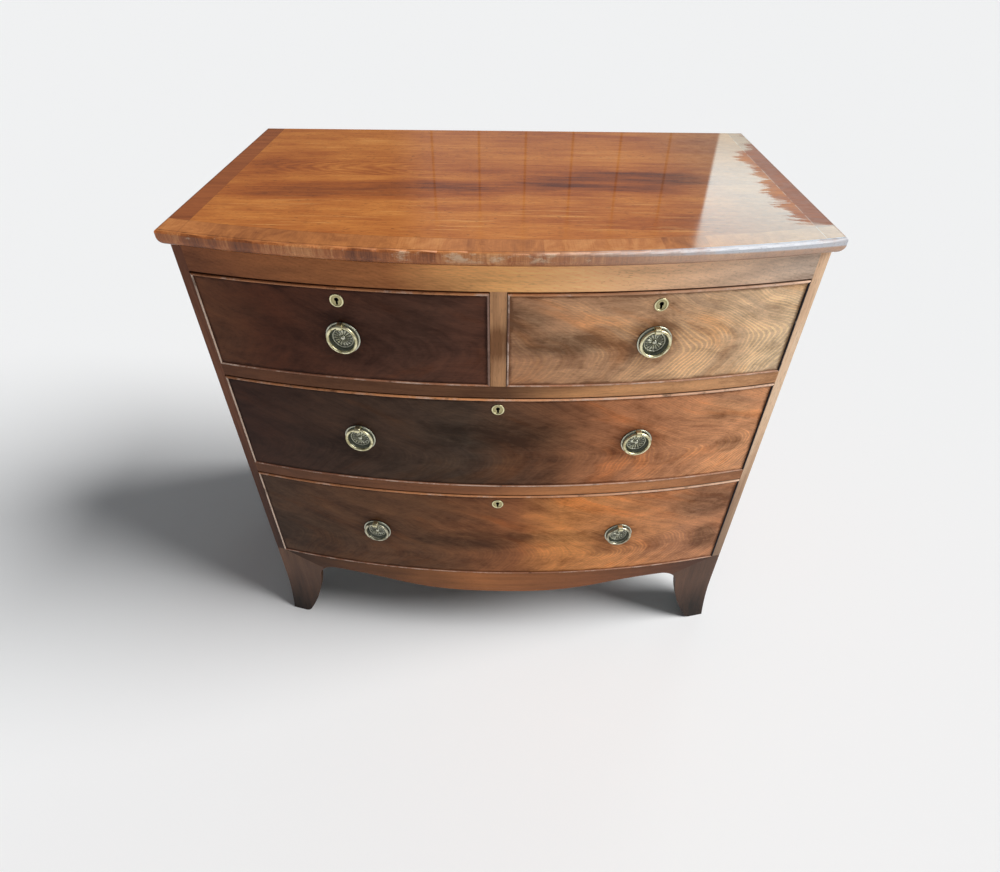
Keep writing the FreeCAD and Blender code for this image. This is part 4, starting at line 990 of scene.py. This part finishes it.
def turns(count, offset=0.0):
    """The angles that divide a full turn into equal steps."""
    return [math.tau * (step + offset) / count for step in range(count)]


def circle(radius, out, count):
    """Points round a fitting's middle, all as far out of the face."""
    return [(radius * math.sin(angle), -out, radius * math.cos(angle)) for angle in turns(count)]


def mark_rubbed(made, points, low, rise):
    """Number a brass mesh's points by how far they stand out: 0 at low, and 1 a rise above it."""
    rubbed = made.data.attributes.new("rubbed", "FLOAT", "POINT")
    for point, item in zip(points, rubbed.data):
        item.value = (-point[1] - low) / rise


# %% [markdown]
# ## Ring handles
# Each handle is a stamped plate, a post whose eye carries the ring, and a nut inside the drawer. The hinge
# of each ring tells us where the post's eye is and how far the fitting is turned with the bow, so the
# fitting's own drawing (across, out of the face, up) can be set down there.

# %% Handle places
PIVOT_OUT = 6.6 * MM
PIVOT_UP = 20.5 * MM

handles = {}
for joint in frame["joints"]:
    if joint["type"] == "hinge":
        axis = Vector(joint["axis"])
        turn_with_bow = Matrix.Rotation(math.atan2(-axis.y, -axis.x), 4, "Z")
        eye = turn_with_bow @ Vector((0, -PIVOT_OUT, PIVOT_UP))
        place = Matrix.Translation(Vector(joint["pos_m"]) - eye) @ turn_with_bow
        handles[joint["name"].removesuffix("_ring_hinge")] = (joint["parent"], place)
for name, (_, place) in handles.items():
    print(name, [round(part, 3) for part in place.translation])

# %% Stamped plate
PLATE = 25.5 * MM
RIM = 2.9 * MM
RIM_RISE = 1.2 * MM
WEB = 1.0 * MM
ROSETTE = 16.0 * MM
LEAF_END = 13.9 * MM
PETALS = 16
BEADS = 40
BOSS_FOOT = 4.4 * MM
BOSS = 3.7 * MM
AROUND = 240


def plate_height(radius, angle):
    """How far the stamped metal stands out, in metres, at a place on the plate."""
    if radius > PLATE - RIM:
        across_rim = (radius - (PLATE - RIM / 2)) / (RIM / 2)
        return WEB + RIM_RISE * math.sqrt(max(0.0, 1 - across_rim**2))
    if radius > ROSETTE:
        return WEB
    if radius > LEAF_END:
        ring = math.sin(math.pi * (radius - LEAF_END) / (ROSETTE - LEAF_END))
        return 1.3 * MM + 0.9 * MM * ring * (0.45 + 0.55 * abs(math.cos(angle * BEADS / 2)))
    if radius > BOSS_FOOT:
        reach = (radius - BOSS_FOOT) / (LEAF_END - BOSS_FOOT)
        leaf = abs(math.cos(angle * PETALS / 2)) ** 1.2
        hump = math.sin(math.pi * min(1.0, reach * 0.9 + 0.12)) ** 0.5
        groove = 0.35 * MM * max(0.0, 1 - abs(math.sin(angle * PETALS / 2)) * 9)
        return 0.9 * MM + 1.5 * MM * leaf * hump - groove * hump
    if radius > BOSS:
        return 1.2 * MM
    return 1.2 * MM + 2.6 * MM * math.sqrt(max(0.0, 1 - (radius / BOSS) ** 2))


def plate_radii():
    """Closer circles where the height changes quickly."""
    steps = [PLATE - RIM * (1 - math.cos(math.pi * step / 10)) / 2 for step in range(11)]
    steps += [18.5 * MM, ROSETTE + 0.1 * MM, ROSETTE]
    steps += [ROSETTE + (LEAF_END - ROSETTE) * step / 8 for step in range(1, 9)]
    steps += [LEAF_END + (BOSS_FOOT - LEAF_END) * step / 14 for step in range(1, 15)]
    steps += [3.9 * MM] + [BOSS * math.cos(math.pi / 2 * step / 6) for step in range(6)] + [0.05 * MM]
    return steps


def stamped_loop(radius):
    return [(radius * math.sin(angle), -plate_height(radius, angle), radius * math.cos(angle))
            for angle in turns(AROUND)]


def plates_of(body):
    """The frame node that a drawer's plates, posts, shanks and nuts stand in for."""
    return body.removesuffix("_drawer") + "_handle_plates"


for name, (body, place) in handles.items():
    loops = [circle(PLATE - 0.4 * MM, 0.0, AROUND), circle(PLATE, 0.3 * MM, AROUND)]
    loops += [stamped_loop(radius) for radius in plate_radii()]
    points, faces = skin(loops)
    made = piece(f"{name}_plate", points, faces, place, plate_brass, body, plates_of(body))
    mark_rubbed(made, points, WEB, RIM_RISE)
print("plates", len(handles), "with", len(plate_radii()) * AROUND, "points each")

# %% [markdown]
# The post's eye is a small block with a round outer end and a round hole. Its outline and its hole are
# walked with the same number of steps, so the two can be joined into one tube that closes on itself.

# %% Eye posts
EYE = 4.7 * MM
BORE = 3.0 * MM
EYE_WIDTH = 8.6 * MM
CHAMFER = 0.5 * MM
HOLE_CHAMFER = 0.3 * MM
EYE_STEPS = 48
TINY = 1e-6


def eye_outline(side, inset):
    """The block's outline, seen from the side: a half round in front, straight back to the plate."""
    reach = EYE - inset
    foot = PIVOT_OUT - WEB
    loop = []
    for angle in turns(EYE_STEPS, 0.5):
        back, up = math.cos(angle), math.sin(angle)
        grow = reach
        if back > 0:
            grow = min(reach / max(abs(up), TINY), foot / back)
        loop.append((side, -PIVOT_OUT + back * grow, PIVOT_UP + up * grow))
    return loop


def eye_hole(side, grow):
    return [(side, -PIVOT_OUT + (BORE + grow) * math.cos(angle), PIVOT_UP + (BORE + grow) * math.sin(angle))
            for angle in turns(EYE_STEPS, 0.5)]


half = EYE_WIDTH / 2
loops = [eye_outline(-half, CHAMFER), eye_outline(-half + CHAMFER, 0), eye_outline(half - CHAMFER, 0),
         eye_outline(half, CHAMFER), eye_hole(half, HOLE_CHAMFER), eye_hole(half - HOLE_CHAMFER, 0),
         eye_hole(-half + HOLE_CHAMFER, 0), eye_hole(-half, HOLE_CHAMFER)]
for name, (body, place) in handles.items():
    piece(f"{name}_post", *skin(loops, tube=True), place, ring_brass, body, plates_of(body))
print("posts", len(handles))

# %% [markdown]
# Behind the plate, the post goes on as a shank through the front, and a nut draws it tight from inside. They
# show when a drawer is open. A thread's helix would be lost at this size, so rings of ridges stand for it.

# %% Shanks and nuts
SHANK = 2.5 * MM
SHANK_END = 28.4 * MM
SHANK_STEPS = 24
THREAD_START = 16 * MM
THREAD_PITCH = 1.0 * MM
THREAD_TURNS = 12
NUT = 6.5 * MM
NUT_THICK = 4 * MM
NUT_FACE = 22.4 * MM
NUT_EDGE = 0.4 * MM
NUT_STEPS = 72


def behind(radius, depth, angle):
    """A point on the shank or the nut, round the post's axis and as deep behind the face."""
    return radius * math.cos(angle), depth, PIVOT_UP + radius * math.sin(angle)


def shank_loops():
    """A plain pin, cut with a thread near its end; each turn of the thread is a ridge and a hollow."""
    stations = [(1.2 * MM, SHANK), (14 * MM, SHANK)]
    for ridge in range(THREAD_TURNS):
        stations += [(THREAD_START + ridge * THREAD_PITCH, SHANK - 0.35 * MM),
                     (THREAD_START + (ridge + 0.5) * THREAD_PITCH, SHANK)]
    stations += [(SHANK_END - 0.2 * MM, SHANK - 0.4 * MM), (SHANK_END, SHANK - 0.9 * MM)]
    return [[behind(radius, depth, angle) for angle in turns(SHANK_STEPS)] for depth, radius in stations]


def hexagon(depth, limit):
    """Six flats, cut off where their corners pass a limit."""
    loop = []
    for angle in turns(NUT_STEPS):
        flat = NUT * math.cos(math.pi / 6) / math.cos((angle % (math.pi / 3)) - math.pi / 6)
        loop.append(behind(min(flat, limit), depth, angle))
    return loop


def nut_loops():
    """Six flats, with the corners turned away at both faces, round a clear hole."""
    turned_away = NUT * 0.9
    hole = SHANK + 0.05 * MM
    far_face = NUT_FACE + NUT_THICK
    return [hexagon(NUT_FACE, turned_away), hexagon(NUT_FACE + NUT_EDGE, NUT),
            hexagon(far_face - NUT_EDGE, NUT), hexagon(far_face, turned_away),
            hexagon(far_face, hole), hexagon(NUT_FACE, hole)]


for name, (body, place) in handles.items():
    node = plates_of(body)
    piece(f"{name}_shank", *skin(shank_loops()), place, dull_brass, body, node)
    piece(f"{name}_nut", *skin(nut_loops(), tube=True), place, dull_brass, body, node, sharp=25)
print("shanks and nuts", len(handles))

# %% [markdown]
# ## Keyhole plates
# Each lock has a small cast disc with a rounded rim in front of its keyhole. A hole could be cut with a
# boolean, but a keyhole is a round with a slot below it, and from the middle of the round every direction
# meets its outline once. So the outline is walked by angle like a circle, and the disc is skinned from
# its rim to its keyhole and back along its base.

# %% Disc and keyhole
DISC = 10.0 * MM
DISC_RIM = 2.4 * MM
DISC_WEB = 0.6 * MM
DISC_RISE = 0.8 * MM
HOLE_ROUND = 3.1 * MM
HOLE_ABOVE = 1.5 * MM
HOLE_BELOW = 7.6 * MM
HOLE_SLOT = 1.6 * MM
DISC_STEPS = 96


def keyhole_loop(grow, out):
    """The keyhole's outline, grown by a little, walked by angle from the middle of its round."""
    loop = []
    for angle in turns(DISC_STEPS):
        side, up = math.sin(angle), math.cos(angle)
        reach = HOLE_ROUND + grow
        if up < 0:
            slot = min((HOLE_SLOT + grow) / max(abs(side), TINY), (HOLE_BELOW + grow) / -up)
            reach = max(reach, slot)
        loop.append((reach * side, -out, HOLE_ABOVE + reach * up))
    return loop


loops = [circle(DISC - 0.3 * MM, 0.0, DISC_STEPS), circle(DISC, 0.3 * MM, DISC_STEPS)]
for step in range(9):
    angle = math.pi * step / 8
    rim_at = DISC - DISC_RIM * (1 - math.cos(angle)) / 2
    loops.append(circle(rim_at, DISC_WEB + DISC_RISE * math.sin(angle), DISC_STEPS))
loops += [keyhole_loop(0.5 * MM, 0.85 * MM), keyhole_loop(0.0, DISC_WEB), keyhole_loop(0.0, 0.0)]
points, faces = skin(loops, tube=True)

for drawer in DRAWERS:
    x, z = middle(f"{drawer}_escutcheon")
    place = Matrix.Translation((x, face_y(x), z)) @ Matrix.Rotation(math.asin(x / BOW_RADIUS), 4, "Z")
    made = piece(f"{drawer}_keyhole_plate", points, faces, place, key_brass, f"{drawer}_drawer",
                 f"{drawer}_escutcheon")
    mark_rubbed(made, points, DISC_WEB, DISC_RISE)
print("keyhole plates", len(DRAWERS))

# %% [markdown]
# ## Cock beads
# A cock bead is a thin strip let into the edge of a drawer front, with a round nose that stands proud and
# guards the veneer. Four strips meet in mitres. A curve with a bevel could draw them, but it has no mitred
# ends, so each is one small section carried along the edge, and its nose is dented a little by years of
# knocks. Where the polish has gone the bare wood shows nearly white, and a painted highlight pales the nose
# as well. The four sides of a drawer get lit and shaded copies of the bead's colour, and painted shade
# darkens each bead low down where it meets the front.


# %% Bead finish
def bead_finish(side, tones, bare_and_lit_share, nose_drop=0.0):
    """A bead's colour, dirt and painted shade where it meets the front, and bare wood and painted highlight
    on the nose.

    A bead can have its dirt and painted shade, and its bare wood and painted highlight, start lower on the
    nose by a given amount, in metres.
    """
    finish = Finish(f"bead_{side}")
    marks = grain(finish, "x", 70.0)
    back = finish.sum("SUBTRACT", finish.y, BOW_CENTRE)
    radius = finish.sum("SQRT", finish.sum("MULTIPLY_ADD", finish.x, finish.x, finish.product(back, back)))
    out = finish.sum("SUBTRACT", radius, BOW_RADIUS)
    chips = finish.noise(finish.scaled(22, 22, 22), detail=7, roughness=0.72)
    # Bare wood and a painted highlight pale the nose.
    bare_and_lit = finish.ease(finish.sum("ADD", chips, bare_and_lit_share), 0.50, 0.66)
    bare_and_lit = finish.sum("MULTIPLY", bare_and_lit, finish.ease(out, 1.2 * MM - nose_drop, 1.9 * MM - nose_drop))
    base = shaded(finish, across(finish, marks, *tones), tone(finish, marks, 1.0, 0.5))
    colour = finish.mix(finish.sum("MULTIPLY", bare_and_lit, 0.7), base, tint(226, 202, 184))
    # Dirt in patches, and painted shade low on the bead where it meets the front.
    dirt_and_shade = finish.noise(finish.scaled(35, 35, 35), detail=4, roughness=0.7)
    dirt_and_shade = finish.sum("MAXIMUM", finish.ease(dirt_and_shade, 0.55, 0.7),
                      finish.ease(out, 1.2 * MM - nose_drop, 0.2 * MM - nose_drop))
    colour = finish.mix(finish.sum("MULTIPLY", dirt_and_shade, 0.6), colour, tint(58, 36, 28))
    return waxed(finish, marks, colour, 0.4, level=0.15)


# Lit and shaded copies for each side: the upper beads are painted lighter and start their painted shade
# lower, as lit from above, and the right ones nearly black, as in the shadow beside them.
BEAD_LOOKS = {
    "over": dict(tones=[(-0.43, (176, 118, 82)), (0.0, (220, 154, 106)), (0.43, (240, 204, 176))],
                 bare_and_lit_share=0.0, nose_drop=1.2 * MM),
    "under": dict(tones=[(-0.43, (140, 96, 76)), (0.0, (176, 122, 92)), (0.43, (200, 154, 126))],
                  bare_and_lit_share=0.06),
    "left": dict(tones=[(-0.43, (208, 184, 166)), (0.02, (130, 96, 80)), (0.43, (130, 96, 80))],
                 bare_and_lit_share=0.10),
    "right": dict(tones=[(-0.02, (150, 120, 106)), (0.1, (48, 40, 40)), (0.43, (38, 36, 40))],
                  bare_and_lit_share=-0.15),
}
lit_and_shaded_beads = {side: bead_finish(side, **looks) for side, looks in BEAD_LOOKS.items()}
print("bead woods", list(lit_and_shaded_beads))

# %% Bead strips
BEAD = 3.2 * MM
BEAD_PROUD = 2.2 * MM
BEAD_DEPTH = 8 * MM
BEAD_STATION = 4 * MM
NOSE_STEPS = 8
MITRE = 0.04 * MM
KNOCK = 0.35 * MM


def bead_section():
    """The strip's section: how far in from the outer edge, and how far out of the face."""
    radius = BEAD / 2
    nose = []
    for step in range(NOSE_STEPS + 1):
        angle = math.pi * step / NOSE_STEPS
        nose.append((radius - radius * math.cos(angle), BEAD_PROUD - radius + radius * math.sin(angle)))
    return [(0.0, -BEAD_DEPTH)] + nose + [(BEAD, -BEAD_DEPTH)]


def knocked(out, along, seed):
    """The nose loses up to a third of a millimetre here and there."""
    if out <= 0:
        return out
    wear = noise.noise(Vector((along * 55, seed, 0.3))) + 0.5 * noise.noise(Vector((along * 190, seed, 4.1)))
    return out - KNOCK * max(0.0, min(1.0, wear * 1.6))


def strip_loops(start, end, seed, set_down):
    """The section carried from start to end, mitred at both; set_down turns it into points."""
    stations = 1 + round((end - start) / BEAD_STATION)
    loops = []
    for station in range(stations + 1):
        share = station / stations
        loop = []
        for inset, out in bead_section():
            first, last = start + inset + MITRE, end - inset - MITRE
            along = first + (last - first) * share
            loop.append(set_down(along, inset, knocked(out, along, seed)))
        loops.append(loop)
    return loops


def level_strip(low, high, edge, inward, seed):
    """A strip along the bow. Inward is +1 for the lower strip and -1 for the upper one."""
    return strip_loops(low.x, high.x, seed, lambda x, inset, out: (x, face_y(x, out), edge + inward * inset))


def upright_strip(low, high, edge, inward, seed):
    """A strip up the side. Inward is +1 for the left strip and -1 for the right one."""
    def set_down(z, inset, out):
        x = edge + inward * inset
        return x, face_y(x, out), z
    return strip_loops(low.z, high.z, seed, set_down)


for index, drawer in enumerate(DRAWERS):
    low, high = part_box(f"{drawer}_cockbead")
    strips = {
        "under": level_strip(low, high, low.z, 1, index + 0.1),
        "over": level_strip(low, high, high.z, -1, index + 0.3),
        "left": upright_strip(low, high, low.x, 1, index + 0.5),
        "right": upright_strip(low, high, high.x, -1, index + 0.7),
    }
    for side, loops in strips.items():
        piece(f"{drawer}_bead_{side}", *skin(loops), Matrix(), lit_and_shaded_beads[side], f"{drawer}_drawer",
              f"{drawer}_cockbead")
print("beads", 4 * len(DRAWERS))
